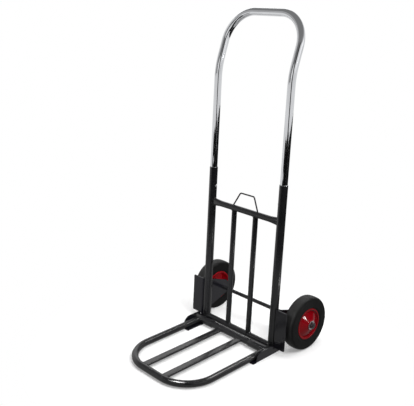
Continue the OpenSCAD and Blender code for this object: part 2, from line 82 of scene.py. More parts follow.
def placed(name: str, data: bpy.types.ID) -> bpy.types.Object:
    """Puts a new object into the scene.

    Args:
        name: the object's name.
        data: the mesh, lamp or camera that it shows.

    Returns:
        The object.
    """
    thing = bpy.data.objects.new(name, data)
    bpy.context.scene.collection.objects.link(thing)
    return thing


class Side(Enum):
    """The two sides of the cart, as seen from its front."""

    LEFT = -1
    RIGHT = 1

    @property
    def word(self) -> str:
        """The side's name as the nodes spell it."""
        return self.name.lower()

    def turned(self, p: Array) -> Array:
        """Points of a right-hand piece on this side."""
        return p * np.array([self.value, 1, 1])


class Body(Enum):
    """The rigid bodies that new pieces ride on."""

    FRAME = "frame"
    PLATFORM = "platform"
    HANDLE = "handle"
    WHEEL_LEFT = "wheel_left"
    WHEEL_RIGHT = "wheel_right"


@dataclass(frozen=True)
class Layout:
    """Sizes that the sub-assemblies share, in millimetres, and the cart's two frames."""

    track: float = 280.0
    lean: float = 3.5
    shift: float = 91.6495
    upright_d: float = 25.0
    upright_wall: float = 1.2
    upright_top: float = 510.0
    handle_d: float = 22.0
    upper_bar_at: float = 401.0
    lower_bar_at: float = 16.0
    bar_d: float = 18.0
    hinge: Pair = (-30.0, 15.0)
    knuckle_d: float = 24.0
    sleeve_d: float = 20.0
    rod_d: float = 8.0
    shoe_t: float = 2.0
    plate_x: float = 155.5
    wall_x: float = 157.5
    axle: Pair = (88.201, 82.5)
    axle_d: float = 12.0
    lock_drop: float = 58.0
    lock_hole_r: float = 4.34
    travel: float = 250.0
    seat: float = 0.04

    @property
    def lock_at(self) -> float:
        """Height of the lock buttons along the uprights."""
        return self.upright_top - self.lock_drop

    def standing(self, p: Array) -> Array:
        """Moves points from the foot of the uprights to the model's origin."""
        return p + np.array([0.0, self.shift, 0.0])

    def leaned(self, p: Array) -> Array:
        """Turns points back by the lean, then moves them.

        Args:
            p: points (x, y, length along the uprights).

        Returns:
            The points in the model.
        """
        c, s = cos(radians(self.lean)), sin(radians(self.lean))
        x, y, z = np.moveaxis(p, -1, 0)
        return self.standing(stacked(x, y * c + z * s, z * c - y * s))

    def in_leg(self, p: Array, side: Side) -> Array:
        """Points of an upright or leg (towards the middle, across, along) in the model."""
        return self.leaned(side.turned(np.array([self.track / 2, 0, 0]) + p * np.array([-1, 1, 1])))


LAYOUT = Layout()


class Graph:
    """The nodes of a material or world, added by short calls."""

    def __init__(self, owner: bpy.types.Material | bpy.types.World) -> None:
        """Opens a node tree.

        Args:
            owner: the material or world that it belongs to.
        """
        owner.use_nodes = True
        self.owner = owner
        self.tree = owner.node_tree

    def feed(self, socket: Socket, value: object) -> None:
        """Links an input to a node or an output, or sets it to a plain value.

        Args:
            socket: the input.
            value: what it gets; a node stands for its first output.
        """
        if isinstance(value, Node):
            value = value.outputs[0]
        if isinstance(value, Socket):
            self.tree.links.new(value, socket)
        else:
            socket.default_value = value

    def fill(self, node: Node, *inputs: object, **named: object) -> Node:
        """Feeds the inputs of a node.

        Args:
            node: the node.
            inputs: values for its first inputs, in their order.
            named: values by the input's name, with _ for a space.

        Returns:
            The node.
        """
        for socket, value in zip(node.inputs, inputs):
            self.feed(socket, value)
        for key, value in named.items():
            self.feed(node.inputs[key.replace("_", " ")], value)
        return node

    def add(self, kind: str, *inputs: object, operation: str = "", **named: object) -> Node:
        """Adds a node and feeds it.

        Args:
            kind: the node's type, without its usual beginning.
            inputs: values for its first inputs.
            operation: what a maths node does.
            named: values by name.

        Returns:
            The node.
        """
        node = self.tree.nodes.new("ShaderNode" + kind)
        if operation:
            node.operation = operation
        return self.fill(node, *inputs, **named)

    def mapped(self, value: object, to: Pair, since: Pair = (0.0, 1.0)) -> Node:
        """Maps a value to one range from another."""
        ends = dict(zip(("From_Min", "From_Max", "To_Min", "To_Max"), (*since, *to)))
        return self.add("MapRange", Value=value, **ends)

    def length(self, vector: object) -> Socket:
        """The length of a vector."""
        return self.add("VectorMath", vector, operation="LENGTH").outputs["Value"]

    def reach(self, span: Pair, level: Pair) -> Node:
        """A level by distance from the object's origin.

        Args:
            span: the distances where it starts and ends to change.
            level: the levels there, with an eased step between them.

        Returns:
            The node that gives it.
        """
        fall = self.mapped(self.length(self.add("TexCoord").outputs["Object"]), level, span)
        fall.interpolation_type = "SMOOTHSTEP"
        return fall

    def surfaced(self, shader: Node) -> bpy.types.Material:
        """Puts a shader in place of the material's first one.

        Args:
            shader: the node that gives the new surface.

        Returns:
            The material.
        """
        self.tree.nodes.remove(self.tree.nodes["Principled BSDF"])
        self.feed(self.tree.nodes["Material Output"].inputs["Surface"], shader)
        return self.owner


class Recipe(Graph):
    """The nodes of one finish, round a Principled shader."""

    def __init__(self, name: str) -> None:
        """Makes the material of this name."""
        super().__init__(bpy.data.materials.new(name))
        self.coords = self.add("TexCoord").outputs["Object"]

    def noise(self, size: float, detail: float) -> Node:
        """A cloud pattern, about 0.3 to 0.7, with patches of a size in metres."""
        return self.add("TexNoise", Vector=self.coords, Scale=1.0 / size, Detail=detail)

    def between(self, value: Node, low: Triple, high: Triple) -> Node:
        """Blends two colours over the range of a cloud pattern.

        Args:
            value: the pattern.
            low: the colour at its low end.
            high: the colour at its high end.

        Returns:
            The node that gives the colour.
        """
        ramp = self.add("ValToRGB", value)
        for element, at, colour in zip(ramp.color_ramp.elements, CLOUD, (low, high)):
            element.position = at
            element.color = (*colour, 1)
        return ramp


@dataclass(frozen=True)
class Finish:
    """A finish: its colour in two shades, its gloss range and the grain of its surface."""

    slot: str
    shade: Triple
    light: Triple
    rough: Pair
    patch: float = 0.05
    grain: float = 0.0015
    depth: float = 2e-5
    metal: float = 0.0
    specular: float = 0.5
    label: str = ""

    def coloured(self, recipe: Recipe, patches: Node) -> Node:
        """The colour: its two shades in clouds."""
        return recipe.between(patches, self.shade, self.light)

    def material(self) -> bpy.types.Material:
        """The finish as a node material, made once.

        Returns:
            The material.
        """
        name = "finish_" + (self.label or self.slot)
        if name in bpy.data.materials:
            return bpy.data.materials[name]
        recipe = Recipe(name)
        patches, grain = recipe.noise(self.patch, detail=4.0), recipe.noise(self.grain, detail=2.0)
        bump = recipe.add("Bump", Strength=1.0, Distance=self.depth, Height=grain)
        recipe.fill(recipe.tree.nodes["Principled BSDF"], Base_Color=self.coloured(recipe, patches),
                    Roughness=recipe.mapped(patches, self.rough, CLOUD), Metallic=self.metal,
                    Specular_IOR_Level=self.specular, Normal=bump)
        return recipe.owner


@dataclass(frozen=True)
class TreadFinish(Finish):
    """Rubber with dark sides and a lighter tread: partly dust on the tread, partly a painted sheen that
    stands for the top light on it.
    """

    # tread colour: part dust, part painted sheen standing for the top light on the tread
    tread: Triple = (0.024, 0.024, 0.024)
    side_r: float = 0.0780
    tread_r: float = 0.0826
    ragged: float = 0.0012

    def coloured(self, recipe: Recipe, patches: Node) -> Node:
        """Blends from the sides to the tread's dusty, painted-sheen colour by the distance from the axle,
        with a ragged edge.

        Args:
            recipe: the material in the making.
            patches: the finish's cloud pattern.

        Returns:
            The colour.
        """
        y, z = LAYOUT.axle
        lay = recipe.add("Mapping", Vector=recipe.coords, Scale=(0, 1, 1),
                         Location=(0, -(y + LAYOUT.shift) * MM, -z * MM))
        edge = recipe.mapped(patches, (-self.ragged, self.ragged), CLOUD)
        away = recipe.add("Math", recipe.length(lay), edge, operation="ADD")
        # the tread end of this blend is the lighter colour, part dust and part painted sheen
        return recipe.between(recipe.mapped(away, CLOUD, (self.side_r, self.tread_r)), self.shade, self.tread)


BLACK_PAINT = Finish("black_paint", (0.01, 0.01, 0.0112), (0.013, 0.013, 0.0142), (0.17, 0.23), depth=6e-6)
PLATE_PAINT = Finish("plate_paint", (0.0062, 0.006, 0.009), (0.0088, 0.0085, 0.012), (0.15, 0.21), depth=6e-6)
CHROME = Finish("chrome", (0.72, 0.73, 0.75), (0.78, 0.79, 0.81), (0.05, 0.09), grain=0.004, depth=4e-6,
                metal=1.0)
ZINC = Finish("zinc", (0.42, 0.42, 0.43), (0.60, 0.60, 0.60), (0.24, 0.38), patch=0.006, grain=0.0006,
              metal=1.0)
NUT_STEEL = Finish("zinc", (0.09, 0.08, 0.085), (0.16, 0.14, 0.15), (0.25, 0.40), patch=0.006, grain=0.0006,
                   metal=1.0, label="nut_steel")
BARE_EDGE = Finish("zinc", (0.30, 0.30, 0.30), (0.55, 0.55, 0.56), (0.2, 0.4), patch=0.004, grain=0.0005,
                   metal=1.0, label="bare_edge")
RIM_PAINT = Finish("rim_paint", (0.22, 0.0009, 0.0045), (0.27, 0.0013, 0.006), (0.10, 0.15), depth=1e-6,
                   specular=0.14)
# tyre: the tread is lighter than the sides, partly from dust and partly as a painted sheen of the top light
TYRE_RUBBER = TreadFinish("tyre", (0.0035, 0.0035, 0.0035), (0.006, 0.006, 0.006), (0.5, 0.65), patch=0.02,
                          grain=0.0012, depth=6e-5, specular=0.15)
NYLON = Finish("nylon", (0.02, 0.02, 0.02), (0.03, 0.03, 0.03), (0.4, 0.5), patch=0.01)


def unit(v: Array) -> Array:
    """Vectors of the same directions and of length 1."""
    return v / np.linalg.norm(v, axis=-1, keepdims=True)


def turns(n: int) -> Array:
    """Angles of n points round a full turn."""
    return np.linspace(0.0, 2.0 * pi, n, endpoint=False)


def eased(n: int) -> Array:
    """n values of 1 - cos t for t over a quarter turn, which space the rows of a round corner."""
    return 1 - np.cos(np.linspace(0, pi / 2, n))


def half_width(r: float, off: Array) -> Array:
    """Half the chord of a circle of radius r at a distance from its middle: sqrt(r^2 - off^2)."""
    return np.sqrt(np.maximum(r ** 2 - off ** 2, 0.0))


def arc(centre: Sequence[float], r: float, a: float, b: float, n: int) -> Array:
    """Points on an arc in a plane: centre + r (cos t, sin t), t from a to b degrees."""
    t = np.radians(np.linspace(a, b, n))
    return stacked(centre[0] + r * np.cos(t), centre[1] + r * np.sin(t))


def soft_rect(w: float, h: float, r: float, per_corner: int = 6) -> Array:
    """A rectangle with round corners, as four arcs in turn.

    Args:
        w: its width.
        h: its height.
        r: radius of the corners.
        per_corner: points on each arc.

    Returns:
        The points (x, y).
    """
    x, y = w / 2 - r, h / 2 - r
    corners = enumerate([(x, y), (-x, y), (-x, -y), (x, -y)])
    return np.concatenate([arc(c, r, 90 * k, 90 * k + 90, per_corner) for k, c in corners])


def straight(low: Array, high: Array, rows: int = 7) -> Array:
    """Rows between two closed outlines: (1 - t) low + t high."""
    t = np.linspace(0.0, 1.0, rows)[:, None, None]
    return low * (1 - t) + high * t


def swept(x: Array, r: Array, line: Pair, side: Side = Side.RIGHT) -> Array:
    """Radii about a line along X, in the model: (x, y + r cos t, z + r sin t).

    Args:
        x: place of each row.
        r: radius, rows by angles.
        line: the line's y and z.
        side: the side of the cart.

    Returns:
        The grid.
    """
    t = turns(r.shape[1])
    p = stacked(x[:, None], line[0] + r * np.cos(t), line[1] + r * np.sin(t))
    return LAYOUT.standing(side.turned(p))


def lathe(section: Sequence[Pair], line: Pair, side: Side = Side.RIGHT, n: int = TUBE_COLUMNS) -> Array:
    """A section (radius, x) turned about a line along X."""
    r, x = np.asarray(section).T
    return swept(x, np.repeat(r[:, None], n, axis=1), line, side)


def weld_bead(curve: Array, axis: int, size: float, ripple: int) -> Array:
    """A bead round the end of a bar: a circle of radius size (1 + wave sin k t) carried along a curve.

    Args:
        curve: points of the closed curve.
        axis: which coordinate runs along the bar.
        size: radius of the bead.
        ripple: ripples along the whole bead.

    Returns:
        A grid that wraps both ways.
    """
    away = curve - curve.mean(axis=0)
    away[:, axis] = 0
    along = unit(np.roll(curve, -1, axis=0) - np.roll(curve, 1, axis=0))
    away = unit(away - along * (away * along).sum(axis=-1, keepdims=True))
    cross = np.cross(along, away)
    r = size * (1.0 + BEAD_WAVE * np.sin(turns(len(curve)) * ripple))[:, None, None]
    a = turns(BEAD_COLUMNS)[None, :, None]
    return curve[:, None] + r * (np.cos(a) * away[:, None] + np.sin(a) * cross[:, None])


@dataclass
class Path:
    """Points along a bent bar, with two directions across it at each point."""

    at: Array
    side: Array
    up: Array

    @classmethod
    def trace(cls, start: Sequence[float], side: Sequence[float], ahead: Sequence[float],
              steps: Sequence[Sequence[float]], arc_step: float) -> "Path":
        """Follows straight runs and bends, and carries the cross directions without twist.

        A bend of radius r moves a point by r (1 - cos t) towards the bend and r sin t ahead.

        Args:
            start: first point.
            side: direction across the bar.
            ahead: direction along it.
            steps: (length,) for a run, (radius, angle, roll) for a bend.
            arc_step: degrees between the points of a bend.

        Returns:
            The path.
        """
        o, x, z = (np.array(v, dtype=float) for v in (start, side, ahead))
        y = np.cross(z, x)
        spin = 0.0
        rows = [(o[None], x[None], y[None])]
        for step in steps:
            if len(step) == 1:
                o = o + z * step[0]
                rows.append((o[None], rows[-1][1][-1:], rows[-1][2][-1:]))
                continue
            r, turn, roll = step[0], radians(step[1]), radians(step[2])
            x, y = x * cos(roll) + y * sin(roll), y * cos(roll) - x * sin(roll)
            spin -= roll
            t = np.linspace(0.0, turn, max(4, int(step[1] / arc_step) + 1))[1:, None]
            at = o + r * (1 - np.cos(t)) * x + r * np.sin(t) * z
            xs, zs = np.cos(t) * x - np.sin(t) * z, np.cos(t) * z + np.sin(t) * x
            rows.append((at, cos(spin) * xs + sin(spin) * y, cos(spin) * y - sin(spin) * xs))
            o, x, z = at[-1], xs[-1], zs[-1]
        return cls(*(np.concatenate(part) for part in zip(*rows)))

    def ringed(self, r: float, n: int = TUBE_COLUMNS) -> Array:
        """Rings of radius r round the path: at + r (cos t side + sin t up)."""
        t = turns(n)[None, :, None]
        return self.at[:, None] + r * (np.cos(t) * self.side[:, None] + np.sin(t) * self.up[:, None])


class Skin:
    """Grids of points and the faces between them, gathered into one mesh."""

    def __init__(self) -> None:
        """Starts empty."""
        self.points: list[Array] = []
        self.faces: list[list[int]] = []
        self.count = 0

    def grid(self, p: Array, wrap_u: bool = False, wrap_v: bool = False, keep: Array | None = None) -> "Skin":
        """Adds a grid of points and its quads.

        Args:
            p: points, rows by columns by 3, in millimetres.
            wrap_u: whether the last row joins the first.
            wrap_v: whether the last column joins the first.
            keep: which quads stay; all if left out.

        Returns:
            The skin.
        """
        i = np.arange(p.shape[0] * p.shape[1]).reshape(p.shape[:2]) + self.count
        i = np.vstack([i, i[:1]]) if wrap_u else i
        i = np.hstack([i, i[:, :1]]) if wrap_v else i
        quads = stacked(i[:-1, :-1], i[1:, :-1], i[1:, 1:], i[:-1, 1:])
        quads = quads if keep is None else quads[keep]
        self.faces += quads.reshape(-1, 4).tolist()
        self.points.append(p.reshape(-1, 3))
        self.count += p.shape[0] * p.shape[1]
        return self

    def sleeve(self, p: Array, keep: Array | None = None) -> "Skin":
        """Adds a grid whose columns run round, open at both ends."""
        return self.grid(p, wrap_v=True, keep=keep)

    def ring(self, p: Array) -> "Skin":
        """Adds a grid that wraps both ways."""
        return self.grid(p, True, True)

    def bar(self, p: Array) -> "Skin":
        """Adds a sleeve with a row gathered to the middle of each end, which closes it."""
        ends = [np.repeat(row.mean(axis=0)[None, None], p.shape[1], axis=1) for row in (p[0], p[-1])]
        return self.sleeve(np.concatenate([ends[0], p, ends[1]]))

    def slab(self, top: Array, bottom: Array) -> "Skin":
        """Adds a thick sheet: two grids of one shape, joined along their four edges.

        Args:
            top: one face.
            bottom: the other face.

        Returns:
            The skin.
        """
        self.grid(top).grid(bottom)
        for line in (np.s_[0], np.s_[-1], np.s_[:, 0], np.s_[:, -1]):
            self.grid(np.stack([top[line], bottom[line]]))
        return self

    def stand_in(self, node: str, word: str, finish: Finish = BLACK_PAINT, body: Body = Body.FRAME,
                 **edges: float) -> bpy.types.Object:
        """Builds the piece that stands for one CAD node, named for it with one more word."""
        return self.build(f"{node}_{word}", finish, body, node, **edges)

    def build(self, name: str, finish: Finish = BLACK_PAINT, body: Body = Body.FRAME, *nodes: str,
              crease: float = 32.0, bevel: float = 0.0) -> bpy.types.Object:
        """Makes the mesh, closes its seams, turns its faces outwards and puts it on its body.

        Args:
            name: the piece's name.
            finish: its finish.
            body: the body that it rides on.
            nodes: the CAD nodes that it stands for.
            crease: angle past which an edge shows sharp, in degrees.
            bevel: width of the eased edges, in millimetres.

        Returns:
            The piece.
        """
        mesh = bpy.data.meshes.new(name)
        mesh.from_pydata((np.vstack(self.points) * MM).tolist(), [], self.faces)
        work = bmesh.new()
        work.from_mesh(mesh)
        bmesh.ops.remove_doubles(work, verts=work.verts, dist=SEAM_GAP)
        bmesh.ops.dissolve_degenerate(work, edges=work.edges, dist=SLIVER)
        bmesh.ops.recalc_face_normals(work, faces=work.faces)
        work.to_mesh(mesh)
        work.free()
        mesh.shade_smooth()
        mesh.set_sharp_from_angle(angle=radians(crease))
        mesh.materials.append(finish.material())
        piece = placed(name, mesh)
        if bevel:
            ease = piece.modifiers.new("eased_edges", "BEVEL")
            ease.width, ease.segments = bevel * MM, 2
            ease.limit_method, ease.angle_limit = "ANGLE", BEVEL_ANGLE
        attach(piece, body.value)
        if nodes:
            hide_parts(*nodes)
        LOG.info("%s: %d faces on %s", name, len(mesh.polygons), body.value)
        return piece


def pierced_wall(radius: float, rows: Array, holes: Sequence[float]) -> tuple[Array, Array, list[Array]]:
    """One wall of a straight tube with lock holes at angle 0, along its own axis.

    With q the distance from a hole in blocks of three cells, the larger of its two parts, a
    point at q = 1 is drawn onto the hole's circle and a point at q = 2 stays in place.

    Args:
        radius: the wall's radius.
        rows: heights of the grid's rows, evenly spaced round each hole.
        holes: heights of the holes.

    Returns:
        Points (towards angle 0, across, along), the quads to keep, and each hole's rim.
    """
    n, hole_r = TUBE_COLUMNS, LAYOUT.lock_hole_r
    column = np.arange(n)
    column = np.where(column > n // 2, column - n, column)
    u, v = np.meshgrid(column * 2 * pi * radius / n, rows)
    keep = np.ones((len(rows) - 1, n), dtype=bool)
    rims = []
    for at in holes:
        pitch = np.diff(rows)[np.searchsorted(rows, at)]
        un, vn = np.meshgrid(column / 3.0, (rows - at) / (3.0 * pitch))
        q = np.maximum(abs(un), abs(vn))
        drawn = hole_r * q / np.maximum(np.hypot(un, vn), 1e-9)
        blend = np.clip(q - 1.0, 0.0, 1.0)
        near = q <= 2.0
        u = np.where(near, drawn * un * (1 - blend) + u * blend, u)
        v = np.where(near, at + drawn * vn * (1 - blend) + (v - at) * blend, v)
        mid_u = abs(un + np.roll(un, -1, axis=1)) / 2
        mid_v = abs(vn[:-1] + vn[1:]) / 2
        keep &= ~((mid_u[:-1] < 1) & (mid_v < 1))
        rim = np.argwhere(abs(q - 1.0) < 1e-6)
        rims.append(rim[np.argsort([atan2(vn[i, j], un[i, j]) for i, j in rim])])
    points = stacked(radius * np.cos(u / radius), radius * np.sin(u / radius), v)
    return points, keep, [points[r[:, 0], r[:, 1]] for r in rims]


def pierced_leg(skin: Skin, side: Side, radii: Pair, span: Pair, holes: Sequence[float]) -> list[Array]:
    """Adds the outer and inner wall of a straight leg and the rims of its lock holes.

    Args:
        skin: the skin that they go into.
        side: the side of the cart.
        radii: outer and inner radius.
        span: heights of its two ends.
        holes: heights of the holes, each with thirteen even rows across it.

    Returns:
        The points of both walls, along the leg's own axis.
    """
    fine = [at + 2 * pi * radii[0] / TUBE_COLUMNS * np.arange(-6, 7) for at in holes]
    rows = np.unique(np.round(np.concatenate([span, *fine]), 6))
    walls = [pierced_wall(r, rows, holes) for r in radii]
    for points, keep, _ in walls:
        skin.sleeve(LAYOUT.in_leg(points, side), keep)
    for rims in zip(walls[0][2], walls[1][2]):
        skin.sleeve(LAYOUT.in_leg(np.stack(rims), side))
    return [wall[0] for wall in walls]


@dataclass
class FrameTubes:
    """The fixed frame: uprights, crossbars, slats and the wire loop, with their welds."""

    foot: float = 8.0
    edge: float = 0.2
    rim_h: float = 0.4
    slat_d: float = 16.0
    slat_pitch: float = 86.0
    flat_h: float = 25.0
    flat_t: float = 12.0
    flare: float = 34.0
    last_row: float = 15.0
    end_row: float = 12.0
    wire_d: float = 4.5
    wire_sink: float = 0.5
    foot_pitch: float = 97.0
    top_pitch: float = 55.0
    rise: float = 49.0
    bend_r: float = 7.0
    tilt: float = 7.0
    bead: float = 1.5
    bead_sink: float = 0.7
    bar_ripples: int = 34
    slat_ripples: int = 26

    def build(self) -> None:
        """Builds every piece of the frame's tubes."""
        for side in Side:
            self.upright(side)
            Skin().bar(LAYOUT.leaned(self.slat_grid(side))).stand_in("slat_" + side.word, "tube")
        for name, grid in (("upper", self.upper_grid()), ("lower", self.lower_grid())):
            Skin().bar(LAYOUT.leaned(grid)).stand_in(name + "_crossbar", "tube")
        self.hook_loop()
        self.welds()

    def upright(self, side: Side) -> None:
        """A tube with two lock holes, cut level on its sole, and the bare rim at its top.

        Args:
            side: the side of the cart.
        """
        e, high, low = self.edge, LAYOUT.upright_top, LAYOUT.upright_top - self.rim_h
        r_out = LAYOUT.upright_d / 2
        r_in = r_out - LAYOUT.upright_wall
        skin = Skin()
        holes = [LAYOUT.lock_at - LAYOUT.travel, LAYOUT.lock_at]
        walls = pierced_leg(skin, side, (r_out, r_in), (self.foot, low), holes)
        soles = [self.cut_level(wall[0]) for wall in walls]
        for rows in (*zip(soles, (wall[0] for wall in walls)), [wall[-1] for wall in walls], soles):
            skin.sleeve(LAYOUT.in_leg(np.stack(rows), side))
        skin.stand_in("upright_" + side.word, "tube")
        r, s = np.array([(r_out, low), (r_out, high - e), (r_out - e, high),
                         (r_in + e, high), (r_in, high - e), (r_in, low)]).T[..., None]
        t = turns(TUBE_COLUMNS)
        rim = LAYOUT.in_leg(stacked(r * np.cos(t), r * np.sin(t), s), side)
        Skin().ring(rim).build("upright_rim_" + side.word, BARE_EDGE)

    @staticmethod
    def cut_level(p: Array) -> Array:
        """Draws a ring of an upright down to the sole: along = (t + y sin lean) / cos lean.

        Args:
            p: the ring's points, along the upright's own axis.

        Returns:
            The ring on the sole.
        """
        low = p.copy()
        low[:, 2] = (LAYOUT.shoe_t + p[:, 1] * sin(radians(LAYOUT.lean))) / cos(radians(LAYOUT.lean))
        return low

    def bar_ends(self, y: Array, s: Array) -> list[Array]:
        """Where a crossbar meets the uprights: x = -+ (track / 2 - sqrt(r^2 - y^2))."""
        x = LAYOUT.track / 2 - half_width(LAYOUT.upright_d / 2 + LAYOUT.seat, y)
        return [stacked(k * x, y, s) for k in (-1, 1)]

    @property
    def flare_from(self) -> float:
        """Where the ends of the upper crossbar begin to flatten."""
        return (LAYOUT.track - LAYOUT.upright_d) / 2 - self.flare

    def upper_section(self, x: Array) -> tuple[Array, Array]:
        """Outline of the upper crossbar at x: a circle that turns to a tall oval at its ends.

        The oval is (h cos t, h sin t + k tanh(3 sin t)); the two blend by 3 f^2 - 2 f^3.

        Args:
            x: places along the bar.

        Returns:
            Offsets across it (y) and heights along the uprights (s).
        """
        t = turns(TUBE_COLUMNS)[None]
        r, h = LAYOUT.bar_d / 2, self.flat_t / 2
        f = np.clip((abs(x) - self.flare_from) / (LAYOUT.track / 2 - self.flare_from), 0, 1)
        f = f * f * (3 - 2 * f)
        k = (self.flat_h - self.flat_t) / 2 / np.tanh(3.0)
        y = (r * (1 - f) + h * f) * np.cos(t)
        return y, (r * (1 - f) + h * f) * np.sin(t) + k * np.tanh(3 * np.sin(t)) * f + LAYOUT.upper_bar_at

    def upper_grid(self) -> Array:
        """The upper crossbar from upright to upright.

        Returns:
            Its rows in the leaned frame, close together where its ends flatten.
        """
        half = np.concatenate([[0, self.flare_from / 2],
                               np.linspace(self.flare_from, LAYOUT.track / 2 - self.last_row, 14)])
        x = np.concatenate([-half[:0:-1], half])[:, None]
        y, s = self.upper_section(x)
        ends = self.bar_ends(*self.upper_section(np.array([[LAYOUT.track / 2 - self.end_row]])))
        return np.concatenate([ends[0], stacked(x, y, s), ends[1]])

    def lower_grid(self) -> Array:
        """The plain round lower crossbar from upright to upright, in the leaned frame."""
        y, s = arc((0, LAYOUT.lower_bar_at), LAYOUT.bar_d / 2, 0, 360, TUBE_COLUMNS + 1)[:-1].T
        return straight(*self.bar_ends(y, s))

    def slat_grid(self, side: Side) -> Array:
        """A slat from crossbar to crossbar: its ends follow s = axis -+ sqrt(r^2 - y^2).

        Args:
            side: the side of the cart.

        Returns:
            Its rows in the leaned frame.
        """
        middle = (side.value * self.slat_pitch / 2, 0)
        x, y = arc(middle, self.slat_d / 2, 0, 360, TUBE_COLUMNS + 1)[:-1].T
        dip = half_width(LAYOUT.bar_d / 2 + LAYOUT.seat, y)
        return straight(stacked(x, y, LAYOUT.lower_bar_at + dip), stacked(x, y, LAYOUT.upper_bar_at - dip))

    def hook_loop(self) -> None:
        """The wire loop: a bent round wire that stands on the upper crossbar, tilted back."""
        r = LAYOUT.bar_d / 2
        slant = atan((self.foot_pitch - self.top_pitch) / 2 / (self.rise - r))
        corner = self.bend_r * tan((pi / 2 - slant) / 2)
        sunk = r - self.wire_sink
        foot = self.top_pitch / 2 + (self.rise - sunk) * tan(slant)
        leg = [(self.rise - sunk) / cos(slant) - corner]
        bend = 90 - np.degrees(slant)
        steps = [leg, [self.bend_r, bend, 180], [self.top_pitch - 2 * corner], [self.bend_r, bend, 0], leg]
        across, ahead = (cos(slant), 0, sin(slant)), (-sin(slant), 0, cos(slant))
        path = Path.trace((foot, 0, sunk), across, ahead, steps, arc_step=6.0)
        x, off, up = np.moveaxis(path.ringed(self.wire_d / 2, WIRE_COLUMNS), -1, 0)
        c, s = cos(radians(self.tilt)), sin(radians(self.tilt))
        tilted = stacked(x, off * c + up * s, LAYOUT.upper_bar_at + up * c - off * s)
        Skin().bar(LAYOUT.leaned(tilted)).stand_in("hook_loop", "wire")

    def welds(self) -> None:
        """Beads where the frame's bars meet, in one piece, kept within the uprights' walls."""
        grids = [(grid, 0, self.bar_ripples) for grid in (self.upper_grid(), self.lower_grid())]
        grids += [(self.slat_grid(side), 2, self.slat_ripples) for side in Side]
        least = LAYOUT.upright_d / 2 - self.bead_sink * LAYOUT.upright_wall
        skin = Skin()
        for curve, along, ripple in ((grid[end], k, n) for grid, k, n in grids for end in (0, -1)):
            p = weld_bead(curve, along, self.bead, ripple)
            axis = np.sign(p[..., :1]) * np.array([LAYOUT.track / 2, 0.0])
            off = p[..., :2] - axis
            off *= np.maximum(1.0, least / np.linalg.norm(off, axis=-1, keepdims=True))
            skin.ring(LAYOUT.leaned(np.concatenate([axis + off, p[..., 2:]], axis=-1)))
        skin.build("frame_welds")


@dataclass
class Handle:
    """The sliding handle: one chromed tube, bent back and round."""

    tucked: float = 140.0
    out: float = 270.0
    bend: float = 16.5
    bend_r: float = 220.0
    loop: float = 136.0
    corner_r: float = 90.0
    wall: float = 1.2
    plain_from: float = 490.0

    def build(self) -> None:
        """Builds the tube: a pierced part in each upright and the bent part above."""
        radii = LAYOUT.handle_d / 2, LAYOUT.handle_d / 2 - self.wall
        leg = [LAYOUT.upright_top + self.out - self.plain_from]
        rise = [self.loop - self.corner_r]
        across = [LAYOUT.track - 2 * self.corner_r]
        steps = [leg, [self.bend_r, self.bend, -90], rise, [self.corner_r, 90, 90], across,
                 [self.corner_r, 90, 0], rise, [self.bend_r, self.bend, -90], leg]
        start = LAYOUT.track / 2, 0, self.plain_from
        path = Path.trace(start, (-1, 0, 0), (0, 0, 1), steps, arc_step=2.0)
        skin = Skin()
        for r in radii:
            skin.sleeve(LAYOUT.leaned(path.ringed(r)))
        for side in Side:
            span = LAYOUT.upright_top - self.tucked, self.plain_from
            walls = pierced_leg(skin, side, radii, span, [LAYOUT.lock_at])
            skin.sleeve(LAYOUT.in_leg(np.stack([wall[0] for wall in walls]), side))
        skin.stand_in("handle_tube", "bent", CHROME, Body.HANDLE)


@dataclass
class LockSpring:
    """A folded leaf inside a handle leg, which pushes a lock button out and gives way with it."""

    side: Side
    drop: float = 40.0
    fold_at: float = -1.5
    fold_r: float = 3.0
    front: Pair = (5.0, 4.864)
    back: Pair = (-8.347, -4.206)
    thick: float = 0.8
    wide: float = 8.0
    soft: float = 0.25
    press: float = 4.5

    def build(self) -> None:
        """Carries a flat section along two arms and a round fold.

        The section's place is line + normal s + across w, for s, w on a rectangle with soft corners.
        """
        fold = arc((self.fold_at, -self.drop), self.fold_r, 180, 360, 25)
        line = np.concatenate([[self.back], fold, [self.front]])
        along = unit(np.gradient(line, axis=0))
        normal = stacked(along[:, 1], -along[:, 0])
        section = soft_rect(self.thick, self.wide, self.soft, per_corner=4)
        flat = line[:, None] + normal[:, None] * section[:, :1]
        leaf = LAYOUT.in_leg(stacked(flat[..., 0], section[:, 1], LAYOUT.lock_at + flat[..., 1]), self.side)
        word = self.side.word
        piece = Skin().bar(leaf).stand_in("lock_spring_" + word, "leaf", ZINC, Body.HANDLE)
        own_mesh(piece)


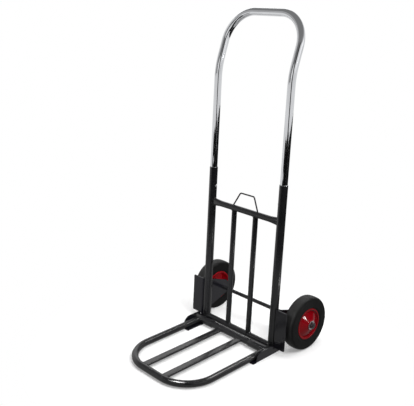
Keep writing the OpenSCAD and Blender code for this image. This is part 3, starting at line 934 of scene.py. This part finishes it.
@dataclass
class Platform:
    """The folding platform: bent tube, deck bars, hinge sleeve and knuckles."""

    reach: float = 344.0
    tube_d: float = 20.0
    corner_r: float = 98.0
    tube_z: float = 12.3
    tube_from: float = 25.0
    bar_w: float = 20.0
    bar_h: float = 7.0
    bar_round: float = 1.6
    bar_z: float = 13.3
    bar_pitch: float = 85.0
    sleeve_len: float = 160.0
    sleeve_wall: float = 1.5
    play: float = 0.4
    fit: float = 0.08
    ease: float = 0.8
    bow: float = 0.3
    bead: float = 1.4
    clear: float = 0.15
    tube_ripples: int = 34
    bar_ripples: int = 24

    def build(self) -> None:
        """Builds every piece of the platform."""
        Skin().bar(LAYOUT.standing(self.tube_grid())).stand_in("platform_tube", "bent", body=Body.PLATFORM)
        for side in Side:
            deck = LAYOUT.standing(self.deck_grid(side))
            Skin().bar(deck).stand_in("deck_bar_" + side.word, "tube", body=Body.PLATFORM)
            self.knuckle(side)
        self.sleeve()
        self.welds()

    def tube_grid(self) -> Array:
        """The bent tube between the knuckles: its ends lie at hinge - max(2 r / 3, sqrt(r^2 - dz^2)).

        Returns:
            Its rings, from the right knuckle to the left one.
        """
        hinge_y, hinge_z = LAYOUT.hinge
        start = hinge_y - self.tube_from
        side, front = [start + self.reach - self.corner_r], [LAYOUT.track - 2 * self.corner_r]
        steps = [side, [self.corner_r, 90, 180], front, [self.corner_r, 90, 0], side]
        path = Path.trace((LAYOUT.track / 2, start, self.tube_z), (1, 0, 0), (0, -1, 0), steps, arc_step=2.5)
        rings = path.ringed(self.tube_d / 2)
        ends = rings[[0, -1]]
        r = LAYOUT.knuckle_d / 2
        dip = half_width(r + LAYOUT.seat, ends[..., 2] - hinge_z)
        ends[..., 1] = hinge_y - np.maximum(r * 2 / 3, dip)
        return np.concatenate([ends[:1], rings, ends[1:]])

    def front_face(self, x: Array, z: Array) -> Array:
        """Where a deck bar meets the front tube, which turns back past its straight part.

        Args:
            x: places across the platform.
            z: heights.

        Returns:
            The places from front to back (y).
        """
        past = np.maximum(abs(x) - (LAYOUT.track / 2 - self.corner_r), 0.0)
        back = self.corner_r - half_width(self.corner_r, past)
        return -self.reach + back + half_width(self.tube_d / 2 + LAYOUT.seat, z - self.tube_z)

    def deck_grid(self, side: Side) -> Array:
        """A flat deck bar from the front tube to the sleeve.

        Args:
            side: the side of the cart.

        Returns:
            Its rows.
        """
        x, z = soft_rect(self.bar_w, self.bar_h, self.bar_round).T
        x, z = x + side.value * self.bar_pitch / 2, z + self.bar_z
        hinge_y, hinge_z = LAYOUT.hinge
        rear = hinge_y - half_width(LAYOUT.sleeve_d / 2 + LAYOUT.seat, z - hinge_z)
        return straight(stacked(x, self.front_face(x, z), z), stacked(x, rear, z))

    def sleeve(self) -> None:
        """The thinner tube in the middle of the hinge."""
        r, half = LAYOUT.sleeve_d / 2, self.sleeve_len / 2
        bore = r - self.sleeve_wall
        section = [(bore, -half), *((r, x) for x in np.linspace(-half, half, 5)), (bore, half)]
        Skin().ring(lathe(section, LAYOUT.hinge)).stand_in("hinge_sleeve", "tube", body=Body.PLATFORM)

    def knuckle(self, side: Side) -> None:
        """The thicker end of the hinge, bored for the rod, with eased edges.

        Args:
            side: the side of the cart.
        """
        r, bore, e = LAYOUT.knuckle_d / 2, LAYOUT.rod_d / 2 + self.fit, self.ease
        low, high = self.sleeve_len / 2, LAYOUT.plate_x - self.play
        edge = [(r, e), (r - self.bow * e, self.bow * e), (r - e, 0), (bore, 0)]
        section = [(radius, low + x) for radius, x in edge[::-1]] + [(r, (low + high) / 2)]
        section += [(radius, high - x) for radius, x in edge]
        grid = lathe(section, LAYOUT.hinge, side)
        Skin().ring(grid).stand_in("hinge_knuckle_" + side.word, "turned", body=Body.PLATFORM)

    def welds(self) -> None:
        """Beads where the platform's bars meet, in one piece, dressed flat above the soles."""
        grids = [(self.tube_grid(), self.tube_ripples)]
        grids += [(self.deck_grid(side), self.bar_ripples) for side in Side]
        skin = Skin()
        for curve, ripple in ((grid[end], n) for grid, n in grids for end in (0, -1)):
            p = weld_bead(curve, 1, self.bead, ripple)
            p[..., 2] = np.maximum(p[..., 2], LAYOUT.shoe_t + self.clear)
            skin.ring(LAYOUT.standing(p))
        skin.build("platform_welds", body=Body.PLATFORM)


@dataclass
class Wheel:
    """A wheel: rubber tyre on a red rim pressed out to a cone."""

    side: Side
    mid_x: float = 190.1
    tyre_w: float = 38.0
    shoulder: float = 9.0
    flank_r: float = 8.0
    flank_from: float = 138.0
    crown_r: float = 90.0
    seat_d: float = 91.0
    lip: float = 2.5
    bead_lead: Triple = (0.5, 0.7, 1.0)
    rim_w: float = 35.0
    rim_t: float = 2.6
    groove: float = 4.5
    hub_step: float = 1.5
    hub_d: float = 28.0
    hub_out: float = 26.0
    hub_in: float = 32.0
    hub_round: float = 0.6
    hub_lift: float = 0.35
    foot_round: float = 0.6
    fillet: float = 3.0
    fillet_bow: Pair = (0.3, 0.12)
    ease: float = 0.4
    bush_d: float = 17.16

    def build(self) -> None:
        """Builds the tyre and the rim."""
        for node, word, section, finish, crease in (("tyre_", "rubber", self.tyre_section(), TYRE_RUBBER, 40),
                                                    ("rim_", "steel", self.rim_section(), RIM_PAINT, 30)):
            grid = lathe(section + np.array([0, self.mid_x]), LAYOUT.axle, self.side, WHEEL_COLUMNS)
            body = Body["WHEEL_" + self.side.name]
            Skin().ring(grid).stand_in(node + self.side.word, word, finish, body, crease=crease)

    def tyre_section(self) -> Array:
        """Half the tyre from bead to crown, then its mirror image.

        Returns:
            The section's points (radius, x).
        """
        seat_r = self.seat_d / 2 + LAYOUT.seat
        bead = self.rim_w / 2 - self.rim_t - LAYOUT.seat
        bead_r, flank = seat_r + self.lip, self.flank_r
        crown = self.tyre_w / 2 - self.shoulder
        base = LAYOUT.axle[1] - self.crown_r
        edge_r = base + half_width(self.crown_r, crown)
        tip = np.degrees(np.arcsin(crown / self.crown_r))
        low, high, inside = self.bead_lead
        half = np.concatenate([
            [[seat_r, bead], [bead_r + low, bead], [bead_r + high, self.rim_w / 2 - inside]],
            arc((bead_r + flank, self.tyre_w / 2 - flank), flank, self.flank_from, 90, 9),
            arc((edge_r - self.shoulder, crown), self.shoulder, 90, tip, 14),
            arc((base, 0), self.crown_r, tip, 0, 8)[1:]])
        return np.concatenate([half, half[-2::-1] * np.array([1, -1])])

    def cone(self) -> tuple[Array, Array, float]:
        """The two rounds at the ends of the cone's outer face.

        Returns:
            The round at the hub, the round at the barrel, and the cone's rise along its radius.
        """
        roll, hub_r = self.rim_t / 2, self.hub_d / 2
        barrel = self.seat_d / 2 - self.rim_t
        low, high = self.rim_w / 2 - self.groove, self.hub_out - self.hub_step
        round_r = self.foot_round * (self.groove - roll)
        slope = (high - low) / (barrel - round_r - hub_r)
        lean = float(np.degrees(np.arctan(slope)))
        neck = arc((hub_r + self.hub_round, high + self.hub_lift), self.hub_round, 180, 270 - lean, 4)
        return neck, arc((barrel - round_r, low + round_r), round_r, 270 - lean, 360, 12), slope

    def rim_section(self) -> Array:
        """The rim's sheet with rolled lips, its cone and its hub, as one closed line.

        Returns:
            The section's points (radius, x).
        """
        seat_r, lip_x, t, roll = self.seat_d / 2, self.rim_w / 2, self.rim_t, self.rim_t / 2
        barrel, lip_r = seat_r - t, seat_r + self.lip - roll
        hub_r, bore = self.hub_d / 2, self.bush_d / 2 + LAYOUT.seat
        e, fillet, (out, down) = self.ease, self.fillet, self.fillet_bow
        neck, foot, slope = self.cone()
        back = self.hub_out - self.hub_step - t * sqrt(1 + slope ** 2)
        root = back - fillet * slope
        return np.concatenate([
            [[bore, self.hub_out], [hub_r - e, self.hub_out], [hub_r, self.hub_out - e]],
            neck, neck[-1] + (foot[0] - neck[-1]) * np.linspace(0, 1, 14)[1:-1, None], foot,
            arc((barrel + roll, lip_x - roll), roll, 180, 90, 8),
            arc((lip_r, lip_x - roll), roll, 90, -90, 12),
            [[seat_r, lip_x - t], [seat_r, t - lip_x]],
            arc((lip_r, roll - lip_x), roll, 90, -90, 12),
            arc((barrel + roll, roll - lip_x), roll, 270, 180, 8),
            [[barrel, back - (barrel - hub_r) * slope], [hub_r + fillet, root]],
            [[hub_r + out * fillet, root - down * fillet], [hub_r, root - fillet / 2]],
            [[hub_r, e - self.hub_in], [hub_r - e, -self.hub_in], [bore, -self.hub_in]]])


@dataclass
class WheelBracket:
    """An angle of bent sheet: a guard in front of the wheel and the axle plate beside it."""

    side: Side
    inner_x: float = 152.5
    sheet: float = 3.0
    bend_r: float = 5.0
    guard_w: float = 43.0
    guard_y: float = -11.0
    low: float = 21.0
    top: float = 141.0
    corner: float = 3.0
    plate_low: float = 17.5
    nose_r: float = 26.0
    nose_y: float = 83.0
    nose_s: float = 87.73
    nose_lead: float = 4.0
    weld_span: Pair = (34.0, 132.0)
    weld_r: float = 1.7
    weld_y: float = 5.5
    weld_sink: float = 0.6
    weld_wave: Pair = (0.12, 2.0)

    def build(self) -> None:
        """Builds the sheet from its developed form: u across the bend, v up the uprights."""
        section, normal, low, high = self.developed()
        v = np.linspace(0.0, 1.0, 25)[None]
        s = low[:, None] * (1 - v) + high[:, None] * v
        outer, inner = (self.lifted(face, s) for face in (section, section - normal * self.sheet))
        Skin().slab(outer, inner).stand_in("wheel_bracket_" + self.side.word, "sheet", PLATE_PAINT, bevel=0.5)
        self.welds()

    def lifted(self, section: Array, s: Array) -> Array:
        """Section points (x, y) set at the heights s along the uprights."""
        x, y = section.T[..., None]
        return LAYOUT.leaned(self.side.turned(stacked(x, y, s)))

    def developed(self) -> tuple[Array, Array, Array, Array]:
        """Walks across the sheet from the guard's free edge round the bend to the nose.

        Returns:
            Section points, their outward directions, and the low and high edge at each.
        """
        flat = np.linspace(2 * self.corner, self.guard_w - self.bend_r, 9)
        out = np.concatenate([self.corner * eased(7), flat])
        centre = np.array([self.inner_x + self.bend_r, self.guard_y + self.bend_r])
        round_bend = arc((0, 0), 1, 270, 180, 9)[1:]
        nose_from = self.nose_y - self.nose_lead
        quarter = np.sin(np.linspace(0, pi / 2, 30))[1:]
        back = np.concatenate([np.linspace(centre[1], nose_from, 24)[1:],
                               nose_from + (self.nose_r + self.nose_lead) * quarter])
        section = np.concatenate([
            stacked(self.inner_x + self.guard_w - out, self.guard_y), centre + self.bend_r * round_bend,
            stacked(self.inner_x, back)])
        normal = np.concatenate([stacked(0 * out, -1.0), round_bend, stacked(-1.0, 0 * back)])
        ease = self.corner - half_width(self.corner, np.maximum(self.corner - out, 0))
        y = np.minimum(back, self.nose_y + self.nose_r)
        y = np.concatenate([np.full(len(round_bend), self.guard_y), y])
        low = np.concatenate([self.low + ease, self.edge_at(y, self.plate_low, -1)])
        high = np.concatenate([self.top - ease, self.edge_at(y, self.top, 1)])
        return section, normal, low, high

    def edge_at(self, y: Array, start: float, sign: int) -> Array:
        """Edge of the axle plate: a line that touches the nose circle, then the circle.

        Args:
            y: places from front to back.
            start: the edge's height at the guard.
            sign: 1 for the upper edge, -1 for the lower one.

        Returns:
            The heights.
        """
        run, drop = self.nose_y - self.guard_y, self.nose_s - start
        tilt = atan2(drop, run) + sign * np.arcsin(self.nose_r / np.hypot(run, drop))
        line = start + (y - self.guard_y) * tan(tilt)
        ring = self.nose_s + sign * half_width(self.nose_r, y - self.nose_y)
        return np.where(y < self.nose_y - sign * self.nose_r * sin(tilt), line, ring)

    def welds(self) -> None:
        """Two beads along the upright, thinner at their ends: radius r (1 + wave sin(k s)) sqrt(sin t)."""
        s = np.linspace(*self.weld_span, 180)[:, None]
        thin = np.sqrt(np.sin(np.linspace(0.02, pi - 0.02, len(s))))[:, None]
        wave, k = self.weld_wave
        r = self.weld_r * (1 + wave * np.sin(k * s)) * thin
        t = turns(BEAD_COLUMNS)
        skin = Skin()
        for y in (-self.weld_y, self.weld_y):
            p = stacked(self.inner_x - self.weld_sink + r * np.cos(t), y + r * np.sin(t), s)
            skin.bar(LAYOUT.leaned(self.side.turned(p)))
        skin.build("bracket_welds_" + self.side.word)


@dataclass
class HingeShoe:
    """A shoe of bent sheet: sole, inner lip and the outer wall that holds the hinge rod."""

    side: Side
    inner_x: float = 121.0
    front: float = 98.0
    back: float = 15.0
    bend_r: float = 3.0
    round_r: float = 5.0
    lip_h: float = 5.0
    lip_back: float = 45.0
    wall_front: float = 84.0
    wall_lead: float = 0.3
    wall_h: float = 29.0
    wall_round: float = 26.0
    wall_low: float = 17.0
    step_y: float = -13.0
    step: float = 0.4
    plain_rows: Triple = (-40.0, -25.0, 0.0)

    def build(self) -> None:
        """Builds the sheet: u across lip, sole and wall, v from front to back."""
        lip_from, lip_to = self.round_r - self.front, -self.lip_back
        y = np.unique(np.concatenate([
            self.round_r * eased(8) - self.front, self.wall_round * eased(18) - self.wall_front,
            [lip_from + self.step, lip_to, lip_to + self.step, -self.wall_front - self.wall_lead],
            [*self.plain_rows, self.step_y, self.step_y + self.step, self.back]]))
        under, into = self.sheet(y)
        faces = (self.side.turned(LAYOUT.standing(p)) for p in (under, under + into * LAYOUT.shoe_t))
        Skin().slab(*faces).stand_in("hinge_shoe_" + self.side.word, "sheet", PLATE_PAINT, bevel=0.4)

    def sheet(self, y: Array) -> tuple[Array, Array]:
        """The sheet's under side and the directions into it, for each y.

        Lip and wall are drawn down to the sole's edge where the sheet has none.

        Args:
            y: places from front to back.

        Returns:
            Points and directions, rows by columns by 3.
        """
        y = y[:, None]
        r, past = self.bend_r, self.step / 2
        lip_from, lip_to = self.round_r - self.front, -self.lip_back
        lip = np.where((y > lip_from + past) & (y < lip_to + past), 1.0, 0.0)
        has = np.where(y > -self.wall_front - self.wall_lead / 3, 1.0, 0.0)
        rounded = half_width(self.wall_round, np.minimum(y + self.wall_front - self.wall_round, 0))
        tall = np.where(y > self.step_y + past, self.wall_low, self.wall_h - self.wall_round + rounded)
        cut = self.round_r - half_width(self.round_r, np.maximum(lip_from - y, 0.0))
        a, f = np.linspace(0, pi / 2, 7)[None], np.linspace(0, 1, 6)[None]
        zero = np.zeros_like(f + lip)
        left, right = self.inner_x + cut, LAYOUT.wall_x - cut
        x = np.concatenate([
            left + zero, left + lip * r * (1 - np.cos(a)), (left + lip * r) * (1 - f) + (right - has * r) * f,
            right - has * r * (1 - np.sin(a)), right + zero], axis=1)
        z = np.concatenate([
            lip * (self.lip_h - (self.lip_h - r) * f), lip * r * (1 - np.sin(a)), zero,
            has * r * (1 - np.cos(a)), has * (r + np.maximum(tall - r, 0.0) * f)], axis=1)
        nx = np.concatenate([lip + zero, lip * np.cos(a), zero, -has * np.sin(a), -has + zero], axis=1)
        return stacked(x, y, z), stacked(nx, 0.0, half_width(1.0, nx))


@dataclass
class AxleSet:
    """The rods across the cart and the fasteners on the axle's ends."""

    end_x: float = 226.3
    end_ease: float = 0.8
    end_step: float = 0.4
    thread_from: float = 216.0
    thread_lead: float = 1.5
    pitch: float = 1.75
    thread_depth: float = 0.9
    rod_dome: Triple = (-0.6, 0.3, 0.5)
    rod_ease: float = 1.0
    washer_x: float = 216.5
    washer_d: float = 27.0
    washer_t: float = 1.8
    ease: float = 0.4
    nut_x: float = 218.3
    nut_flats: float = 18.0
    nut_t: float = 6.5
    nut_face: float = 0.97
    nut_cone: float = 1.73

    def build(self) -> None:
        """Builds the axle, the hinge rod, the washers and the nuts."""
        self.axle()
        self.hinge_rod()
        self.washers()
        self.nuts()

    def axle(self) -> None:
        """The axle: r falls by depth (1 + cos(2 pi x / pitch - t)) / 2 on its threaded ends."""
        plain, end, r = self.thread_from, self.end_x, LAYOUT.axle_d / 2
        thread = np.linspace(plain, end - self.end_ease, 48)
        x = np.concatenate([np.linspace(0, plain, 9), thread[1:], [end, end]])
        x = np.concatenate([-x[:0:-1], x])[:, None]
        fade = np.clip((abs(x) - plain) / self.thread_lead, 0, 1) * self.thread_depth / 2
        radius = r - fade * (1 + np.cos(2 * pi * x / self.pitch - turns(TUBE_COLUMNS)))
        radius = np.where(abs(x) > end - self.end_step, r - self.thread_depth - self.end_step, radius)
        Skin().bar(swept(x[:, 0], radius, LAYOUT.axle)).stand_in("axle", "steel")

    def hinge_rod(self) -> None:
        """The rod through the hinge, with a low dome at each end."""
        r, end = LAYOUT.rod_d / 2, LAYOUT.wall_x
        dome = [(radius, end + past) for radius, past in zip((r, r - self.rod_ease, 0.01), self.rod_dome)]
        half = [(r, 0), (r, end / 2), *dome]
        rod = lathe([(radius, -x) for radius, x in half[:0:-1]] + half, LAYOUT.hinge, n=ROD_COLUMNS)
        Skin().bar(rod).stand_in("hinge_rod", "steel")

    def washers(self) -> None:
        """Two washers with eased edges."""
        r, bore = self.washer_d / 2, LAYOUT.axle_d / 2 + LAYOUT.seat
        x, t, e = self.washer_x, self.washer_t, self.ease
        section = [(bore, x), (r - e, x), (r, x + e), (r, x + t - e), (r - e, x + t), (bore, x + t)]
        skin = Skin()
        for side in Side:
            skin.ring(lathe(section, LAYOUT.axle, side))
        skin.stand_in("axle_washers", "zinc", ZINC)

    def nuts(self) -> None:
        """Two hexagon nuts: the hexagon's radius is limited by a cone at each face."""
        t = turns(NUT_COLUMNS)
        half = self.nut_flats / 2
        hexagon = half / np.cos(np.mod(t + pi / 6, pi / 3) - pi / 6)
        face = np.array([0.0, 0.3, 0.6, 1.0])
        depth = np.concatenate([face, [self.nut_t / 2], self.nut_t - face[::-1]])
        off = np.minimum(depth, self.nut_t - depth)[:, None]
        radius = np.minimum(hexagon[None], half * self.nut_face + off * self.nut_cone)
        bore = np.full((1, len(t)), LAYOUT.axle_d / 2 + LAYOUT.seat)
        x = self.nut_x + np.concatenate([depth[:1], depth, depth[-1:]])
        skin = Skin()
        for side in Side:
            skin.ring(swept(x, np.concatenate([bore, radius, bore]), LAYOUT.axle, side))
        skin.stand_in("axle_nuts", "steel", NUT_STEEL, crease=22)


@dataclass
class PhotoCamera:
    """The camera at the photograph's place, in metres and degrees."""

    at: Triple = (1.3162, -1.2910, 1.0445)
    turn: float = 46.45
    dip: float = 17.84
    lens: float = 59.36
    sensor: float = 36.0
    far: float = 60.0

    def build(self) -> None:
        """Makes the camera and gives it to the scene."""
        data = bpy.data.cameras.new("photo_camera")
        data.lens, data.sensor_width, data.clip_end = self.lens, self.sensor, self.far
        camera = placed("photo_camera", data)
        camera.location = self.at
        camera.rotation_euler = (radians(90 - self.dip), 0.0, radians(self.turn))
        bpy.context.scene.camera = camera


@dataclass(frozen=True)
class Card:
    """A curved card: its glow (none for black), its directions, and (radius, height) of its two edges."""

    name: str
    level: float
    turn: Pair
    low: Pair
    high: Pair


@dataclass(frozen=True)
class Strip:
    """A level strip of light that shines down: its glow below and above, its x, y and height."""

    name: str
    below: float
    above: float
    x: Pair
    y: Pair
    z: float


CARDS = (
    Card("dark_floor", 0.0, (-20, 190), (0.85, 0.002), (2.0, 0.002)),
    Card("dark_band", 0.0, (-20, 75), (2.0, 0.002), (2.0, 0.42)),
    Card("dark_band_right", 0.0, (75, 190), (2.0, 0.002), (2.0, 0.34)),
    Card("dark_visor", 0.0, (95, 122), (1.0, 0.26), (1.97, 0.26)),
    Card("dark_stripe", 0.0, (33, 57), (2.0, 0.002), (2.0, 2.1)),
    Card("dark_floor_left", 0.0, (-45, -20), (1.25, 0.002), (2.0, 0.002)),
    Card("dark_wall", 0.16, (-25, 75), (2.6, 2.2), (2.6, 2.78)),
    Card("dark_front", 0.10, (-30, -5), (2.3, 0.97), (2.3, 2.0)),
    Card("grey_wall", 0.42, (-68, -32), (2.6, 0.8), (2.6, 2.0)),
    Card("light_left", 0.80, (-105, -56), (3.0, 1.5), (3.0, 2.5)),
    Card("light_back", 1.60, (-150, -108), (3.0, 1.6), (3.0, 2.75)),
    Card("light_right", 1.15, (90, 135), (4.0, 1.0), (4.0, 2.3)))
STRIPS = (
    Strip("strip_front", 50.0, 0.7, (-0.02, 0.15), (-0.50, -0.32), 0.45),
    Strip("strip_back", 40.0, 0.7, (0.20, 0.34), (0.60, 0.67), 0.85),
    Strip("strip_middle", 14.0, 0.7, (0.15, 0.45), (0.28, 0.52), 0.85))


@dataclass
class Studio:
    """White floor and surroundings, soft lamps, and what only reflections see."""

    floor_half: float = 12.0
    ambient: float = 0.38
    mirrored: float = 0.74
    glow: float = 0.24
    shaded: Pair = (0.36, 0.58)
    dimmed: Pair = (0.6, 1.1)
    paper: Pair = (0.25, 0.78)
    floor_mirrored: Pair = (0.42, 0.80)
    ceiling_z: float = 2.8
    ceiling_r: Pair = (1.9, 7.0)
    ceiling_level: Pair = (0.22, 0.90)
    black: float = 0.012
    streak_level: float = 90.0
    streak_r: Pair = (27.5, 37.2)
    streak_turn: float = 126.8
    streak_half: float = 4.87
    streak_away: float = 170.0

    def build(self) -> None:
        """Sets up everything round the object."""
        bpy.context.scene.view_settings.view_transform = "Standard"
        self.world()
        self.floor()
        self.lamp("AREA", "lamp_top", (0.2, 0.2, 3.0), (0.0, 0.0, 0.0), size=2.8, energy=60.0)
        self.lamp("AREA", "lamp_right", (2.0, 0.0, 2.5), (0.1, 0.0, 0.1), size=1.0, energy=42.0)
        self.lamp("SPOT", "lamp_left", (1.30, -1.30, 1.10), (-0.19, 0.17, 0.10), energy=250.0,
                  spot_size=radians(7.0), spot_blend=0.6, shadow_soft_size=0.15)
        self.cards()
        self.ceiling()
        self.strips()

    def world(self) -> None:
        """Surroundings that show white to the camera, less in reflections, and light softly."""
        world = bpy.data.worlds.new("studio")
        bpy.context.scene.world = world
        graph = Graph(world)
        rays = graph.add("LightPath").outputs
        mirror = graph.mapped(rays["Is Glossy Ray"], (self.ambient, self.mirrored))
        seen = graph.add("Math", mirror, rays["Is Camera Ray"], operation="MAXIMUM")
        graph.fill(graph.tree.nodes["Background"], Color=(1, 1, 1, 1), Strength=seen)

    def floor(self) -> None:
        """A wide white floor that keeps the shadows near the object and is plain white beyond."""
        h = self.floor_half
        mesh = bpy.data.meshes.new("floor")
        mesh.from_pydata([(-h, -h, 0), (h, -h, 0), (h, h, 0), (-h, h, 0)], [], [(0, 1, 2, 3)])
        floor = placed("floor", mesh)
        graph = Graph(bpy.data.materials.new("floor_white"))
        rays = graph.add("LightPath").outputs
        seen = rays["Is Camera Ray"]
        paper = graph.add("BsdfDiffuse", Color=graph.mapped(seen, self.paper))
        lit = graph.add("Emission", Strength=graph.mapped(seen, (0.0, self.glow)))
        near = graph.add("AddShader", paper, lit)
        far = graph.add("Emission", Strength=seen)
        plain = graph.add("MixShader", graph.reach(self.shaded, (0.0, 1.0)), near, far)
        mirror = graph.add("Emission", Strength=graph.reach(self.dimmed, self.floor_mirrored))
        mesh.materials.append(graph.surfaced(graph.add("MixShader", rays["Is Glossy Ray"], plain, mirror)))

    @staticmethod
    def lamp(kind: str, name: str, at: Triple, aim: Triple, **settings: float) -> None:
        """Adds a lamp that shines from one point towards another and shows in no reflection.

        Args:
            kind: Blender's word for the type of lamp.
            name: the lamp's name.
            at: its place.
            aim: the point that it faces.
            settings: its size, strength and the like.
        """
        data = bpy.data.lights.new(name, kind)
        for key, value in settings.items():
            setattr(data, key, value)
        lamp = placed(name, data)
        lamp.location = at
        lamp.rotation_euler = (Vector(aim) - Vector(at)).to_track_quat("-Z", "Y").to_euler()
        lamp.visible_glossy = False

    def cards(self) -> None:
        """Dark, grey and light cards round the object."""
        black = Graph(bpy.data.materials.new("card_black"))
        black.fill(black.tree.nodes["Principled BSDF"], Base_Color=(self.black, self.black, self.black, 1),
                   Roughness=1.0, Specular_IOR_Level=0.0)
        for card in CARDS:
            material = black.owner
            if card.level:
                graph = Graph(bpy.data.materials.new("card_" + card.name))
                material = graph.surfaced(graph.add("Emission", Strength=card.level))
            turn = np.radians(np.linspace(*card.turn, CARD_COLUMNS))
            self.curved_card(card.name, turn, card.low, card.high, material)

    def ceiling(self) -> None:
        """A grey ceiling, lighter towards its edge."""
        graph = Graph(bpy.data.materials.new("card_ceiling"))
        level = graph.reach(self.ceiling_r, self.ceiling_level)
        material = graph.surfaced(graph.add("Emission", Strength=level))
        turn = np.linspace(0.0, 2 * pi, CEILING_COLUMNS)
        self.curved_card("ceiling", turn, (self.floor_half, 0.0), (0.01, 0.0), material, self.ceiling_z)

    def strips(self) -> None:
        """Strips of light that show in the gloss of the right rim and the platform's bends."""
        rows = [("strip_right", (self.streak_level, 0.0), self.rim_streak())]
        for strip in STRIPS:
            (x0, x1), (y0, y1), z = strip.x, strip.y, strip.z
            corners = [(x0, y1, z), (x1, y1, z), (x1, y0, z), (x0, y0, z)]
            rows.append((strip.name, (strip.below, strip.above), corners))
        for name, levels, corners in rows:
            graph = Graph(bpy.data.materials.new("card_" + name))
            level = graph.mapped(graph.add("NewGeometry").outputs["Backfacing"], levels)
            mesh = bpy.data.meshes.new(name)
            mesh.from_pydata(corners, [], [(0, 1, 2, 3)])
            self.place_card(name, mesh, graph.surfaced(graph.add("Emission", Strength=level)))

    def rim_streak(self) -> list[list[float]]:
        """Corners of a small card that the right rim's cone mirrors to the camera as one short streak.

        A point p with normal n, seen along d, mirrors m = d - 2 (d . n) n; a corner is p + away m.

        Returns:
            The four corners, in metres.
        """
        wheel = Wheel(Side.RIGHT)
        neck, foot, _ = wheel.cone()
        (hub_r, hub_x), (end_r, end_x) = neck[-1], foot[0]
        slope = (hub_x - end_x) / (end_r - hub_r)
        r = np.repeat(self.streak_r, 2)
        t = np.radians(self.streak_turn + self.streak_half * np.array([-1, 1, 1, -1]))
        y, z = LAYOUT.axle
        x = wheel.mid_x + hub_x - slope * (r - hub_r)
        p = LAYOUT.standing(stacked(x, y + r * np.cos(t), z + r * np.sin(t))) * MM
        n = unit(stacked(1.0, slope * np.cos(t), slope * np.sin(t)))
        d = unit(p - np.array(PhotoCamera().at))
        m = d - 2 * (d * n).sum(axis=-1, keepdims=True) * n
        return (p + self.streak_away * MM * m).tolist()

    def curved_card(self, name: str, turn: Array, low: Pair, high: Pair, material: bpy.types.Material,
                    lift: float = 0.0) -> None:
        """Adds a card between two circles (radius, height) over a range of directions.

        Args:
            name: the card's name.
            turn: its directions, in radians.
            low: radius and height of its first edge.
            high: radius and height of its other edge.
            material: its material.
            lift: height of its origin.
        """
        rows = [stacked(r * np.sin(turn), -r * np.cos(turn), z) for r, z in (low, high)]
        i = np.arange(len(turn) - 1)
        faces = stacked(i, i + 1, i + 1 + len(turn), i + len(turn))
        mesh = bpy.data.meshes.new(name)
        mesh.from_pydata(np.concatenate(rows).tolist(), [], faces.tolist())
        self.place_card(name, mesh, material, lift)

    @staticmethod
    def place_card(name: str, mesh: bpy.types.Mesh, material: bpy.types.Material, lift: float = 0.0) -> None:
        """Puts a card on the stage where only reflections see it.

        Args:
            name: the card's name.
            mesh: its mesh.
            material: its material.
            lift: height of its origin.
        """
        mesh.materials.append(material)
        card = placed(name, mesh)
        card.location.z = lift
        card.visible_camera = False
        card.visible_diffuse = False
        card.visible_shadow = False


def dress_nodes() -> None:
    """Gives every CAD node that stays its finish."""
    finishes = {f.slot: f for f in (BLACK_PAINT, PLATE_PAINT, CHROME, ZINC, RIM_PAINT, TYRE_RUBBER, NYLON)}
    slots = {row["node"]: row["material_slot"] for row in frame["record"]["subparts"]}
    for name, node in frame["nodes"].items():
        material = finishes[slots[name]].material()
        for place in node.material_slots:
            place.material = material


def main() -> None:
    """Builds the stage, then each sub-assembly in turn."""
    logging.basicConfig(level=logging.INFO, format="%(name)s: %(message)s")
    PhotoCamera().build()
    Studio().build()
    dress_nodes()
    FrameTubes().build()
    Handle().build()
    Platform().build()
    AxleSet().build()
    for side in Side:
        LockSpring(side).build()
        Wheel(side).build()
        WheelBracket(side).build()
        HingeShoe(side).build()


if __name__ == "__main__":
    main()
